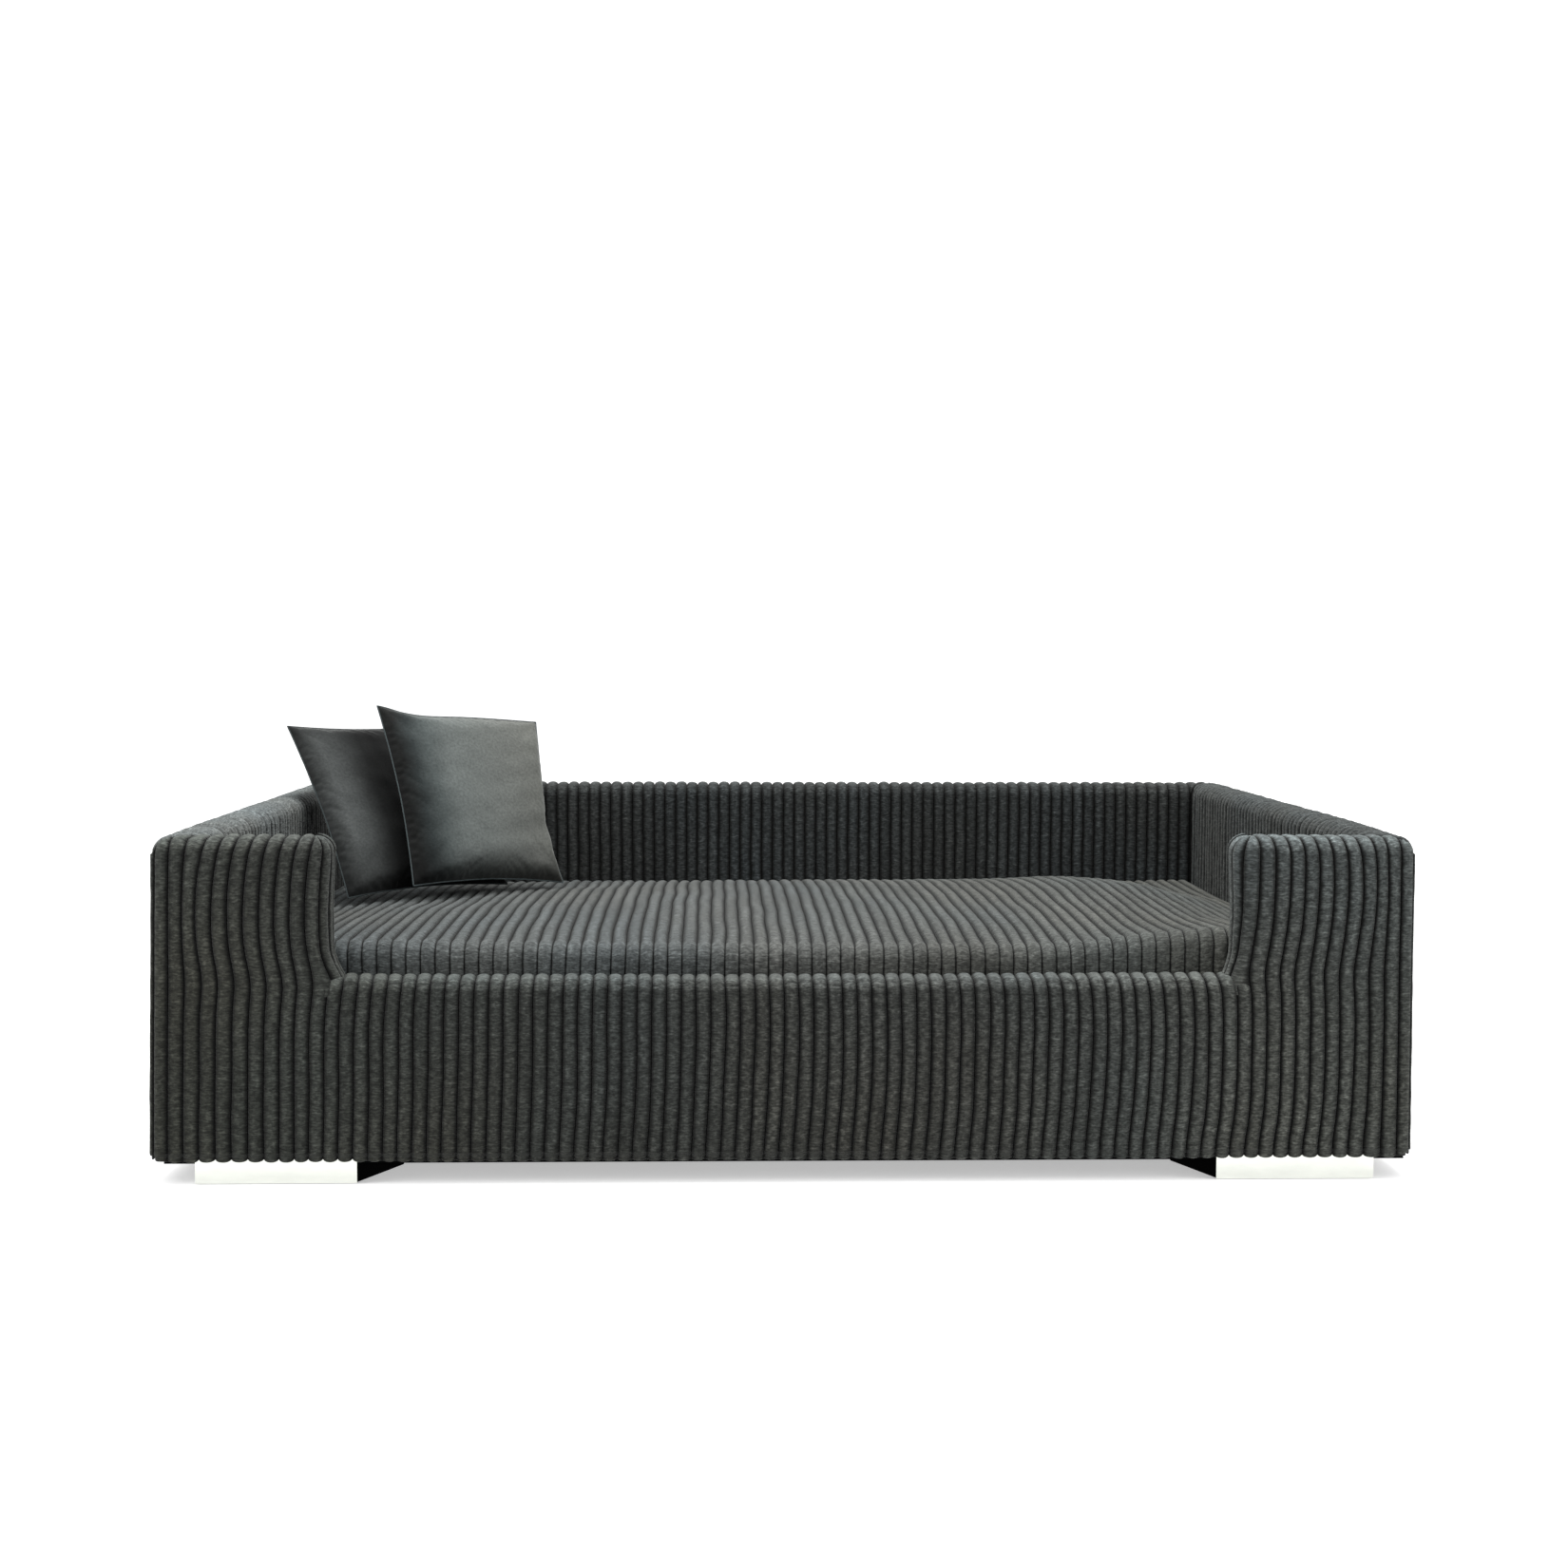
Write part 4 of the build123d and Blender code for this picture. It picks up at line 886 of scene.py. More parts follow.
def build_seat():
    arc = SR * math.pi / 2
    end = SX - SR + arc
    us = wale_columns(-end, end, first=-WALE0 - 45 * PITCH + 3.0, extra=(-(SX - SR), SX - SR))
    first = -WALE0 - 45 * PITCH + 3.0
    P, Nn, v, part, ys, top = seat_rows(us)
    cu, D = seat_lift()
    print("seat: the filling lifts the top by", round(float(D.max()), 2), "mm at most")
    D = D * (2.4 / max(float(D.max()), 0.1))
    lift = cubic(np.clip(us, cu[0], cu[-1]), cu, D, axis=1)
    lift = lift * np.isin(part, (2, 3, 4))[:, None]
    P = P + Nn * lift[..., None]
    share = np.ones(P.shape[:2])
    share[part == 7] = 0.4
    share[part == 1] = 0.72
    share[part == 0] *= np.linspace(0.45, 1.0, (part == 0).sum())[:, None]
    share[part == 6] *= np.linspace(1.0, 0.45, (part == 6).sum())[:, None]
    U = np.broadcast_to(us, v.shape)
    # the wales run straight along the borders and wander a little over the top
    w = 0.6 * wave(U, v, 411, 230.0, 2) + 0.5 * wave(U * 2, v * 2, 412, 180.0, 1)
    P[..., 0] += w * smooth((SX - SR - np.abs(U)) / 60.0)
    h, s = wale_height(U, v, 55, first, PITCH)
    fade = seam_fade(end - np.abs(us))
    h = GROOVE + (h - GROOVE) * fade
    # flat where the zip is sewn on
    zip_zone = (part[:, None] == 5) & (np.abs(P[..., 2] - 168.0) < 16.0)
    h = np.where(zip_zone & (np.abs(U) < 432.0), np.minimum(h, 0.9), h)
    # the crease line along the upper front edge
    crease = np.exp(-((v - v[np.nonzero(part == 3)[0][0]][0] - 2.0) / 5.0) ** 2)
    h = h + 0.9 * crease
    cl = Cloth()
    Pn = P + Nn * (h * share)[..., None]
    Pn = np.concatenate([Pn, Pn[:1]])
    vv = np.concatenate([v, v[-1:] + 20.0])
    ss = np.concatenate([s * fade, (s * fade)[:1]])
    cl.grid(Pn, ss, np.broadcast_to(us, vv.shape), vv, flip=True)
    cols = wale_columns(SYF + SR, SYB - SR, SYF + SR, 14.0)
    for side, te in ((-1, top[:, 0]), (1, top[:, -1])):
        seat_caps(cl, te, ys, side, cols)
    ob = cl.build("seat_cushion_corduroy")
    return ob, top, ys


def build_wadding():
    """Fibre layer between the foam block and the cover, hollow."""
    cu = np.concatenate([[-(SX - SR) - SR * math.pi / 2, -(SX - SR) - SR * math.pi / 4], np.linspace(-(SX - SR), SX - SR, 61), [(SX - SR) + SR * math.pi / 4, (SX - SR) + SR * math.pi / 2]])
    P, Nn, v, part, ys, top = seat_rows(cu)
    inset = np.where(part == 7, 1.4, np.where(np.isin(part, (3, 4)), 5.2, 4.2))[:, None]
    inset = inset * np.ones(P.shape[:2])
    P = P - Nn * inset[..., None]
    cl = Cloth()
    S0 = 0.5 + 0.5 * wave(P[..., 0], P[..., 1], 5, 30.0, 2)
    P = np.concatenate([P, P[:1]])
    S0 = np.concatenate([S0, S0[:1]])
    vv = np.concatenate([v, v[-1:] + 20])
    cl.grid(P, S0, np.broadcast_to(cu, vv.shape), vv, flip=True)
    cols = np.linspace(SYF + SR, SYB - SR, 40)
    for side, te in ((-1, top[:, 0]), (1, top[:, -1])):
        seat_caps(cl, te, ys, side, cols, ribs=False, lift=4.2)
    # inner skin round the foam
    lo_, hi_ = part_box("seat_foam")
    lo_, hi_ = np.array(lo_) / MM - 0.3, np.array(hi_) / MM + 0.3
    def face(ax, val, flip):
        a1, a2 = [i for i in range(3) if i != ax]
        g1, g2 = np.linspace(lo_[a1], hi_[a1], 12), np.linspace(lo_[a2], hi_[a2], 6)
        G1, G2 = np.meshgrid(g1, g2)
        Q = np.zeros(G1.shape + (3,))
        Q[..., ax], Q[..., a1], Q[..., a2] = val, G1, G2
        cl.grid(Q, 0.5 * np.ones(G1.shape), G1, G2, flip=flip)
    face(0, lo_[0], False)
    face(0, hi_[0], True)
    face(1, lo_[1], True)
    face(1, hi_[1], False)
    face(2, lo_[2], False)
    face(2, hi_[2], True)
    return cl.build("seat_cushion_wadding")


seat, seat_top_grid, seat_ys = build_seat()
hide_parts("seat_cover")
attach(seat, "seat_cushion")
wadding = build_wadding()
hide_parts("seat_wadding")
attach(wadding, "seat_cushion")


# ------------------------------------------------------------------------------------------------ pillows
def pillow_start(n, half, dome):
    t = np.linspace(-1, 1, n + 1)
    Xg, Zg = np.meshgrid(t, t, indexing="ij")
    bump = (1 - Xg ** 2) * (1 - Zg ** 2)
    fr = np.stack([Xg * half, -dome * bump, Zg * half], -1)
    bk = np.stack([Xg * half, dome * bump, Zg * half], -1)
    idf = np.arange((n + 1) ** 2).reshape(n + 1, n + 1)
    inner = np.ones((n + 1, n + 1), bool)
    inner[[0, -1]] = False
    inner[:, [0, -1]] = False
    idb = idf.copy()
    idb[inner] = (n + 1) ** 2 + np.arange(inner.sum())
    V = np.concatenate([fr.reshape(-1, 3), bk[inner]])

    def quads(idx, flip):
        q = np.stack([idx[:-1, :-1], idx[1:, :-1], idx[1:, 1:], idx[:-1, 1:]], -1).reshape(-1, 4)
        return q[:, ::-1] if flip else q

    return V, np.concatenate([quads(idf, False), quads(idb, True)]), idf, idb


def blown_pillow(half=120.5, thick=24.6):
    """Two square panels sewn round the edge and filled: gives both panels as n x n x 3 grids, mm, in the pillow's own frame."""
    n = 48
    V, Q, idf, idb = pillow_start(n, half, 6.0)
    ob = mesh_object("pillow_form", V * MM, Q)
    mid = n // 2

    def reach(co):
        return (co[idb[mid, mid], 1] - co[idf[mid, mid], 1]) / 2 >= thick * MM

    co = inflate(ob, 3.0, 26, reach, 40.0, 10.0, 0.5) / MM
    me = ob.data
    bpy.data.objects.remove(ob)
    bpy.data.meshes.remove(me)
    return co[idf], co[idb]


def upsample(G, k):
    n = G.shape[0]
    x = np.arange(n, dtype=float)
    xx = np.linspace(0, n - 1, (n - 1) * k + 1)
    return cubic(xx, x, cubic(xx, x, G, axis=0), axis=1)


ZIP_TILT = math.atan2(8.5, PILLOW / 2 * (0.86 - 0.62))
ZIP_AT = np.array([0.0, 18.75, -PILLOW / 2 * 0.74])
ZS = np.array([0, math.sin(ZIP_TILT), math.cos(ZIP_TILT)])
ZN = np.array([0, math.cos(ZIP_TILT), -math.sin(ZIP_TILT)])


def flatten_zip(G):
    """Lays the back panel flat under the zip's tape."""
    rel = G - ZIP_AT
    s = rel @ ZS
    nn = rel @ ZN
    d = np.maximum(np.abs(G[..., 0]) - 84.0, np.abs(s) - 9.0)
    w = 1 - smooth((d - 0.0) / 16.0)
    return G + ZN * ((-0.35 - nn) * w)[..., None]


def shape_pillow(A, B, seed, droop=0.0, scale=(1.0, 1.0), tuck=0.0, dip=0.0):
    """Unevenness, gathers along the seam, and the drooping upper right corner."""
    out = []
    for G, sgn, o in ((A, -1.0, 0), (B, 1.0, 50)):
        G = G.copy()
        half = 118.0
        x, z = G[..., 0] / half, G[..., 2] / half
        edge = half * (1 - np.maximum(np.abs(x), np.abs(z)))
        inside = smooth(edge / 22.0)
        lump = 1.7 * wave(G[..., 0], G[..., 2], seed + o, 150.0, 2) + 0.5 * wave(G[..., 0], G[..., 2], seed + o + 7, 45.0, 2)
        along = np.where(np.abs(x) > np.abs(z), G[..., 2], G[..., 0])
        side = np.where(np.abs(x) > np.abs(z), np.where(x > 0, 0, 1), np.where(z > 0, 2, 3)) * 91.0
        gather = (np.sin(along * 2 * math.pi / 13.0 + 2.0 * np.sin(along * 0.11 + side) + side) * 0.5 + np.sin(along * 2 * math.pi / 21.0 + side * 2)) * 0.45
        gather = 0.55 * gather * (0.35 + 0.9 * np.abs(wave(along, side, seed + 31, 110.0, 2))) * np.exp(-edge / 11.0) * smooth(edge / 5.0)
        G[..., 1] += sgn * (lump * inside + gather)
        out.append(G)
    A, B = out
    for G in (A, B):
        G[..., 0] *= scale[0]
        G[..., 2] *= scale[1]
        x, z = G[..., 0] / 112.0, G[..., 2] / 112.0
        w = np.clip((x + 1) / 2, 0, 1) ** 2.2 * np.clip((z + 1) / 2, 0, 1) ** 3.0
        G[..., 2] -= droop * w
        G[..., 0] -= 0.15 * droop * w
        # the top edge sags next to its left corner, and the right edge is drawn in below its corner
        G[..., 2] -= dip * np.exp(-((x + 0.52) / 0.42) ** 2) * smooth((x + 1.05) / 0.35) * np.clip((z + 1) / 2, 0, 1) ** 3.0
        G[..., 0] -= tuck * np.clip(x, 0, 1.1) ** 1.6 * np.interp(z, [-1.05, -0.7, -0.35, 0.0, 0.35, 0.7, 1.05], [0.80, 0.95, 1.0, 0.62, 0.28, 0.10, 0.0])
    m = 0.5 * (A + B)
    # both panels still meet on the seam
    for G in (A, B):
        for sl in ((0, slice(None)), (-1, slice(None)), (slice(None), 0), (slice(None), -1)):
            G[sl] = m[sl]
    return A, B


def seam_ring(A):
    """The seam's line round the pillow, in order."""
    return np.concatenate([A[:-1, 0], A[-1, :-1], A[:0:-1, -1], A[0, :0:-1]])


def tube_round(ring, radius, sides=8, flat=1.0):
    """Closed tube along a ring of points."""
    nxt, prv = np.roll(ring, -1, 0), np.roll(ring, 1, 0)
    T = nxt - prv
    T /= np.linalg.norm(T, axis=1, keepdims=True)
    up_ = np.array([0, 1.0, 0])
    B1 = np.cross(T, up_)
    B1 /= np.linalg.norm(B1, axis=1, keepdims=True)
    B2 = np.cross(B1, T)
    ang = np.linspace(0, 2 * math.pi, sides + 1)[:-1]
    P = ring[:, None] + radius * (np.cos(ang)[None, :, None] * B1[:, None] + flat * np.sin(ang)[None, :, None] * B2[:, None])
    return P


def build_pillow(name, M, seed, A, B, body, **form):
    A, B = shape_pillow(A, B, seed, **form)
    B = flatten_zip(B)
    A3, B3 = upsample(A, 3), upsample(B, 3)
    B3[[0, -1]] = A3[[0, -1]]
    B3[:, [0, -1]] = A3[:, [0, -1]]
    n = A3.shape[0]
    t = np.linspace(-1, 1, n)
    e = 1 - np.maximum(np.abs(t[:, None]), np.abs(t[None, :]))      # 0 at the seam, 1 in the middle
    cl = Cloth()
    # e becomes the wale value; the velvet paints shade from it, darker towards the seam
    cl.grid(A3, e, A3[..., 0], A3[..., 2], flip=True)
    cl.grid(B3, e, B3[..., 0], B3[..., 2] + 300.0)
    ring = seam_ring(A3)
    P = tube_round(ring, 0.9, 6, 0.9)
    P = np.concatenate([P, P[:1]])
    P = np.concatenate([P, P[:, :1]], 1)
    lens_ = np.concatenate([[0], np.cumsum(np.linalg.norm(np.diff(np.concatenate([ring, ring[:1]]), axis=0), axis=1))])
    cl.grid(P, -0.2, lens_[:, None] * np.ones(P.shape[1]), np.arange(P.shape[1])[None, :] * np.ones(len(lens_))[:, None], flip=True)
    ob = cl.build(name + "_pillow_velvet", M)
    # the filling is the same form, a little inside
    fl = Cloth()
    A2, B2 = upsample(A, 1).copy(), upsample(B, 1).copy()
    thin = 1.2
    for G, sgn in ((A2, -1.0), (B2, 1.0)):
        G[..., 0] *= 0.965
        G[..., 2] *= 0.965
        midp = 0.5 * (A + B)[..., 1]
        off = np.sign(G[..., 1] - midp) * np.maximum(np.abs(G[..., 1] - midp) - thin, 0.0) * 0.97
        G[..., 1] = midp + off
    fl.grid(A2, 0.5 + 0.5 * wave(A2[..., 0], A2[..., 2], 9, 20.0, 2), A2[..., 0], A2[..., 2], flip=True)
    fl.grid(B2, 0.5 + 0.5 * wave(B2[..., 0], B2[..., 2], 9, 20.0, 2), B2[..., 0], B2[..., 2])
    fo = fl.build(name + "_pillow_fibre", M)
    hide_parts(name + "_pillow_cover")
    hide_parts(name + "_pillow_filling")
    for o, slot in ((ob, "velvet"), (fo, "filling")):
        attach(o, body)
    return ob, fo


blownA, blownB = blown_pillow()
rear_pillow, rear_fibre = build_pillow("rear", M_REAR, 211, blownA, blownB, "rear_pillow", scale=(0.95, 0.975))
front_pillow, front_fibre = build_pillow("front", M_FRONT, 307, blownA, blownB, "front_pillow", droop=13.0, scale=(0.948, 0.952), tuck=18.0, dip=5.5)


# ------------------------------------------------------------------------------------------------ materials
def nodes_of(mat):
    mat.use_nodes = True
    nt = mat.node_tree
    nt.nodes.clear()
    return nt, nt.nodes, nt.links


def noise(nt, coord, scale, detail=2.0, rough=0.55, stretch=(1.0, 1.0, 1.0)):
    mp = nt.nodes.new("ShaderNodeMapping")
    mp.inputs["Scale"].default_value = tuple(scale * s for s in stretch)
    nt.links.new(coord, mp.inputs[0])
    n = nt.nodes.new("ShaderNodeTexNoise")
    n.inputs["Scale"].default_value = 1.0
    n.inputs["Detail"].default_value = detail
    n.inputs["Roughness"].default_value = rough
    nt.links.new(mp.outputs[0], n.inputs["Vector"])
    return n.outputs["Fac"]


def calc(nt, op, a, b, c=None):
    m = nt.nodes.new("ShaderNodeMath")
    m.operation = op
    for i, x in enumerate((a, b, c)):
        if x is None:
            continue
        if isinstance(x, (int, float)):
            m.inputs[i].default_value = x
        else:
            nt.links.new(x, m.inputs[i])
    return m.outputs[0]


def ramp(nt, fac, stops):
    r = nt.nodes.new("ShaderNodeValToRGB")
    el = r.color_ramp.elements
    while len(el) < len(stops):
        el.new(0.5)
    for e, (p, c) in zip(el, sorted(stops)):
        e.position = p
        e.color = tuple(c) + (1.0,)
    nt.links.new(fac, r.inputs[0])
    return r.outputs[0]


def surface(name, rough=0.8, metal=0.0, spec=0.5, sheen=0.0, sheen_rough=0.4, sheen_tint=(1, 1, 1), coat=0.0):
    mat = bpy.data.materials.new(name)
    nt, N, Lk = nodes_of(mat)
    out = N.new("ShaderNodeOutputMaterial")
    bs = N.new("ShaderNodeBsdfPrincipled")
    Lk.new(bs.outputs[0], out.inputs[0])
    bs.inputs["Roughness"].default_value = rough
    bs.inputs["Metallic"].default_value = metal
    bs.inputs["Specular IOR Level"].default_value = spec
    bs.inputs["Sheen Weight"].default_value = sheen
    bs.inputs["Sheen Roughness"].default_value = sheen_rough
    bs.inputs["Sheen Tint"].default_value = tuple(sheen_tint) + (1.0,)
    bs.inputs["Coat Weight"].default_value = coat
    tc = N.new("ShaderNodeTexCoord")
    return mat, nt, bs, tc.outputs["Object"]


def bump(nt, bs, height, strength, distance):
    b = nt.nodes.new("ShaderNodeBump")
    b.inputs["Strength"].default_value = strength
    b.inputs["Distance"].default_value = distance
    nt.links.new(height, b.inputs["Height"])
    nt.links.new(b.outputs[0], bs.inputs["Normal"])


def times(nt, a, b):
    m = nt.nodes.new("ShaderNodeMix")
    m.data_type = "RGBA"
    m.blend_type = "MULTIPLY"
    m.inputs["Factor"].default_value = 1.0
    nt.links.new(a, m.inputs["A"])
    nt.links.new(b, m.inputs["B"])
    return m.outputs["Result"]


def grey(v):
    return (v, v, v)


def velvet(name, base, seam, across, along):
    """Short brushed pile. across and along are painted light and shade at places over the front panel, in metres:
    multipliers on its colour that stand in for the pillow's shading.
    """
    mat, nt, bs, obj = surface(name, rough=0.85, spec=0.12, sheen=0.30, sheen_rough=0.35, sheen_tint=(0.78, 0.80, 0.78))
    at = nt.nodes.new("ShaderNodeAttribute")
    at.attribute_name = "wale"
    cl_ = nt.nodes.new("ShaderNodeAttribute")
    cl_.attribute_name = "cloth"
    sep = nt.nodes.new("ShaderNodeSeparateXYZ")
    nt.links.new(cl_.outputs["Vector"], sep.inputs[0])
    blotch = noise(nt, cl_.outputs["Vector"], 22.0, 3.0, 0.6)
    fine = noise(nt, cl_.outputs["Vector"], 300.0, 3.0, 0.65)
    wob = calc(nt, "MULTIPLY_ADD", blotch, 0.022, -0.011)
    fx = calc(nt, "MULTIPLY_ADD", calc(nt, "ADD", sep.outputs["X"], wob), 4.0, 0.5)
    fz = calc(nt, "MULTIPLY_ADD", calc(nt, "ADD", sep.outputs["Y"], wob), 4.0, 0.5)
    col = ramp(nt, blotch, [(0.3, [0.95 * c for c in base]), (0.7, [1.04 * c for c in base])])
    # painted light and shade: the across and along ramps darken and lighten the panel by place over it
    col = times(nt, col, ramp(nt, fx, [(x * 4.0 + 0.5, c) for x, c in across]))
    col = times(nt, col, ramp(nt, fz, [(x * 4.0 + 0.5, c) for x, c in along]))
    # painted shade: the wale value, 0 at the seam and 1 in the middle, darkens the panel towards its edges
    col = times(nt, col, ramp(nt, at.outputs["Fac"], [(0.0, grey(0.55)), (0.10, grey(0.86)), (0.22, grey(1.0))]))
    mix = nt.nodes.new("ShaderNodeMix")
    mix.data_type = "RGBA"
    nt.links.new(calc(nt, "LESS_THAN", at.outputs["Fac"], -0.1), mix.inputs["Factor"])
    nt.links.new(col, mix.inputs["A"])
    mix.inputs["B"].default_value = tuple(seam) + (1.0,)
    out = times(nt, mix.outputs["Result"], ramp(nt, fine, [(0.3, grey(0.74)), (0.7, grey(1.18))]))
    nt.links.new(out, bs.inputs["Base Color"])
    bump(nt, bs, fine, 0.3, 0.0008)
    return mat


def corduroy(name, stops, tint=(1.0, 1.0, 1.0), soft=1.0, ends=None, border=None, top=None, nook=False, top_groove_light=0.0):
    """Wide-wale cloth with short brushed pile on the wales. stops are shades from groove to crest: the cloth's colour
    at the crest, darkening into the groove as painted shade.
    """
    mat, nt, bs, obj = surface(name, rough=0.92, spec=0.10, sheen=0.14, sheen_rough=0.5, sheen_tint=(0.76, 0.79, 0.76))
    wale = nt.nodes.new("ShaderNodeAttribute")
    wale.attribute_name = "wale"
    cloth = nt.nodes.new("ShaderNodeAttribute")
    cloth.attribute_name = "cloth"
    c = cloth.outputs["Vector"]
    dash = noise(nt, c, 1.0, 3.0, 0.6, (210.0, 560.0, 1.0))
    fleck = noise(nt, c, 1.0, 2.5, 0.6, (120.0, 190.0, 1.0))
    streak = noise(nt, c, 1.0, 2.0, 0.5, (420.0, 45.0, 1.0))
    patch = noise(nt, obj, 6.0, 2.0, 0.5)
    tone = noise(nt, c, 1.0, 1.5, 0.5, (5.0, 3.0, 1.0))
    # the pile's edge wavers, so the groove's width does too
    edge = calc(nt, "MULTIPLY_ADD", fleck, 0.22, -0.11)
    w = calc(nt, "ADD", wale.outputs["Fac"], edge)
    if top_groove_light:
        # painted light: on upward faces the grooves are lifted towards the crest's colour, as where light falls from
        # above
        tz = nt.nodes.new("ShaderNodeTexCoord")
        sz = nt.nodes.new("ShaderNodeSeparateXYZ")
        nt.links.new(tz.outputs["Normal"], sz.inputs[0])
        up_ = ramp(nt, sz.outputs["Z"], [(0.05, grey(0.0)), (0.45, grey(1.0))])
        w = calc(nt, "MULTIPLY_ADD", up_, top_groove_light, w)
    if border:
        # (from, to, groove lift, brightness) along the cloth, in metres: there the grooves are lighter and the whole
        # cloth brighter
        sep = nt.nodes.new("ShaderNodeSeparateXYZ")
        nt.links.new(c, sep.inputs[0])
        v4 = calc(nt, "MULTIPLY", sep.outputs["Y"], 4.0)
        lo_, hi_ = border[0] * 4.0, border[1] * 4.0
        zone = ramp(nt, v4, [(lo_ - 0.04, grey(0.0)), (lo_, grey(1.0)), (hi_, grey(1.0)), (hi_ + 0.04, grey(0.0))])
        zv = calc(nt, "MULTIPLY", zone, border[2])
        w = calc(nt, "ADD", w, zv)
    base = ramp(nt, w, [(p, tuple(v * t for t in tint)) for p, v in stops])
    d1 = ramp(nt, dash, [(0.30, grey(1 - 0.42 * soft)), (0.50, grey(0.96)), (0.68, grey(1 + 0.70 * soft))])
    d2 = ramp(nt, fleck, [(0.28, grey(1 - 0.36 * soft)), (0.50, grey(0.98)), (0.72, grey(1 + 0.50 * soft))])
    d3 = ramp(nt, streak, [(0.3, grey(0.88)), (0.7, grey(1.12))])
    d4 = ramp(nt, patch, [(0.3, grey(0.90)), (0.7, grey(1.12))])
    d5 = ramp(nt, tone, [(0.35, (1.04, 1.0, 0.95)), (0.65, (0.96, 1.005, 1.03))])
    # each wale has its own depth of colour
    own = noise(nt, c, 1.0, 1.0, 0.5, (75.0, 5.0, 1.0))
    d6 = ramp(nt, own, [(0.32, grey(0.84)), (0.5, grey(1.0)), (0.68, grey(1.17))])
    out = base
    for d in (d1, d2, d3, d4, d5, d6):
        out = times(nt, out, d)
    if border:
        out = times(nt, out, ramp(nt, zone, [(0.0, grey(1.0)), (1.0, grey(border[3]))]))
    if top:
        # painted light: upward faces are made lighter, as where light falls from above
        tn = nt.nodes.new("ShaderNodeTexCoord")
        sn = nt.nodes.new("ShaderNodeSeparateXYZ")
        nt.links.new(tn.outputs["Normal"], sn.inputs[0])
        out = times(nt, out, ramp(nt, sn.outputs["Z"], [(0.12, grey(1.0)), (0.50, grey(0.5 + 0.5 * top)), (0.85, (top * 0.97, top * 1.0, top * 1.02))]))
    if ends:
        # painted light and shade from the left end of the sofa to its right end
        sp = nt.nodes.new("ShaderNodeSeparateXYZ")
        nt.links.new(obj, sp.inputs[0])
        out = times(nt, out, ramp(nt, calc(nt, "MULTIPLY_ADD", sp.outputs["X"], 0.8, 0.5), ends))
        # cooler towards the top
        out = times(nt, out, ramp(nt, calc(nt, "MULTIPLY", sp.outputs["Z"], 2.5), [(0.08, (1.01, 1.0, 0.97)), (0.45, (0.99, 1.0, 1.0)), (0.80, (0.97, 1.02, 1.09))]))
    if nook:
        # the arm's inner face is in the pillow's shade along a slanting band
        sq = nt.nodes.new("ShaderNodeSeparateXYZ")
        nt.links.new(obj, sq.inputs[0])
        t = calc(nt, "MULTIPLY_ADD", sq.outputs["Z"], 1.25, sq.outputs["Y"])
        band = ramp(nt, calc(nt, "MULTIPLY_ADD", t, 2.5, -0.75), [(0.49, grey(0.0)), (0.56, grey(1.0)), (0.90, grey(1.0)), (0.99, grey(0.35))])
        inner = ramp(nt, calc(nt, "MULTIPLY_ADD", sq.outputs["X"], 10.0, 6.0), [(0.20, grey(0.0)), (0.38, grey(1.0))])
        both = calc(nt, "MULTIPLY", band, inner)
        out = times(nt, out, ramp(nt, both, [(0.0, grey(1.0)), (1.0, grey(0.16))]))
    nt.links.new(out, bs.inputs["Base Color"])
    h = calc(nt, "MULTIPLY_ADD", fleck, 1.2, dash)
    bump(nt, bs, h, 0.8, 0.0018)
    return mat


def plywood():
    mat, nt, bs, obj = surface("softwood_ply", rough=0.7, spec=0.3)
    grain = noise(nt, obj, 9.0, 4.0, 0.6, (1.0, 14.0, 14.0))
    fibre = noise(nt, obj, 60.0, 3.0, 0.6, (1.0, 10.0, 10.0))
    f = calc(nt, "MULTIPLY_ADD", fibre, 0.35, calc(nt, "MULTIPLY", grain, 0.7))
    nt.links.new(ramp(nt, f, [(0.3, (0.43, 0.28, 0.14)), (0.5, (0.60, 0.44, 0.26)), (0.68, (0.72, 0.56, 0.36))]), bs.inputs["Base Color"])
    bump(nt, bs, f, 0.25, 0.0008)
    return mat


def foam():
    mat, nt, bs, obj = surface("upholstery_foam", rough=0.95, spec=0.1)
    vo = nt.nodes.new("ShaderNodeTexVoronoi")
    vo.inputs["Scale"].default_value = 520.0
    nt.links.new(obj, vo.inputs["Vector"])
    f = calc(nt, "MULTIPLY_ADD", noise(nt, obj, 25.0, 2.0), 0.4, calc(nt, "MULTIPLY", vo.outputs["Distance"], 0.6))
    nt.links.new(ramp(nt, f, [(0.15, (0.70, 0.62, 0.42)), (0.6, (0.88, 0.84, 0.68))]), bs.inputs["Base Color"])
    bump(nt, bs, vo.outputs["Distance"], 0.6, 0.0008)
    return mat


def fibre_fill():
    mat, nt, bs, obj = surface("polyester_fibre", rough=0.95, spec=0.1, sheen=0.3)
    f = noise(nt, obj, 160.0, 5.0, 0.7, (1.0, 3.0, 1.0))
    nt.links.new(ramp(nt, f, [(0.3, (0.66, 0.66, 0.64)), (0.65, (0.90, 0.90, 0.88))]), bs.inputs["Base Color"])
    bump(nt, bs, f, 0.8, 0.003)
    return mat


def lining():
    # near-black: the lining's own black, made darker still as painted shade under the sofa
    mat, nt, bs, obj = surface("black_lining_painted_shade", rough=0.9, spec=0.05)
    wx = nt.nodes.new("ShaderNodeTexWave")
    wx.inputs["Scale"].default_value = 420.0
    wx.inputs["Distortion"].default_value = 1.5
    nt.links.new(obj, wx.inputs["Vector"])
    f = calc(nt, "MULTIPLY_ADD", noise(nt, obj, 800.0, 2.0), 0.6, calc(nt, "MULTIPLY", wx.outputs["Fac"], 0.4))
    nt.links.new(ramp(nt, f, [(0.3, (0.0015, 0.0015, 0.0015)), (0.7, (0.004, 0.004, 0.0043))]), bs.inputs["Base Color"])
    bump(nt, bs, f, 0.4, 0.0004)
    return mat


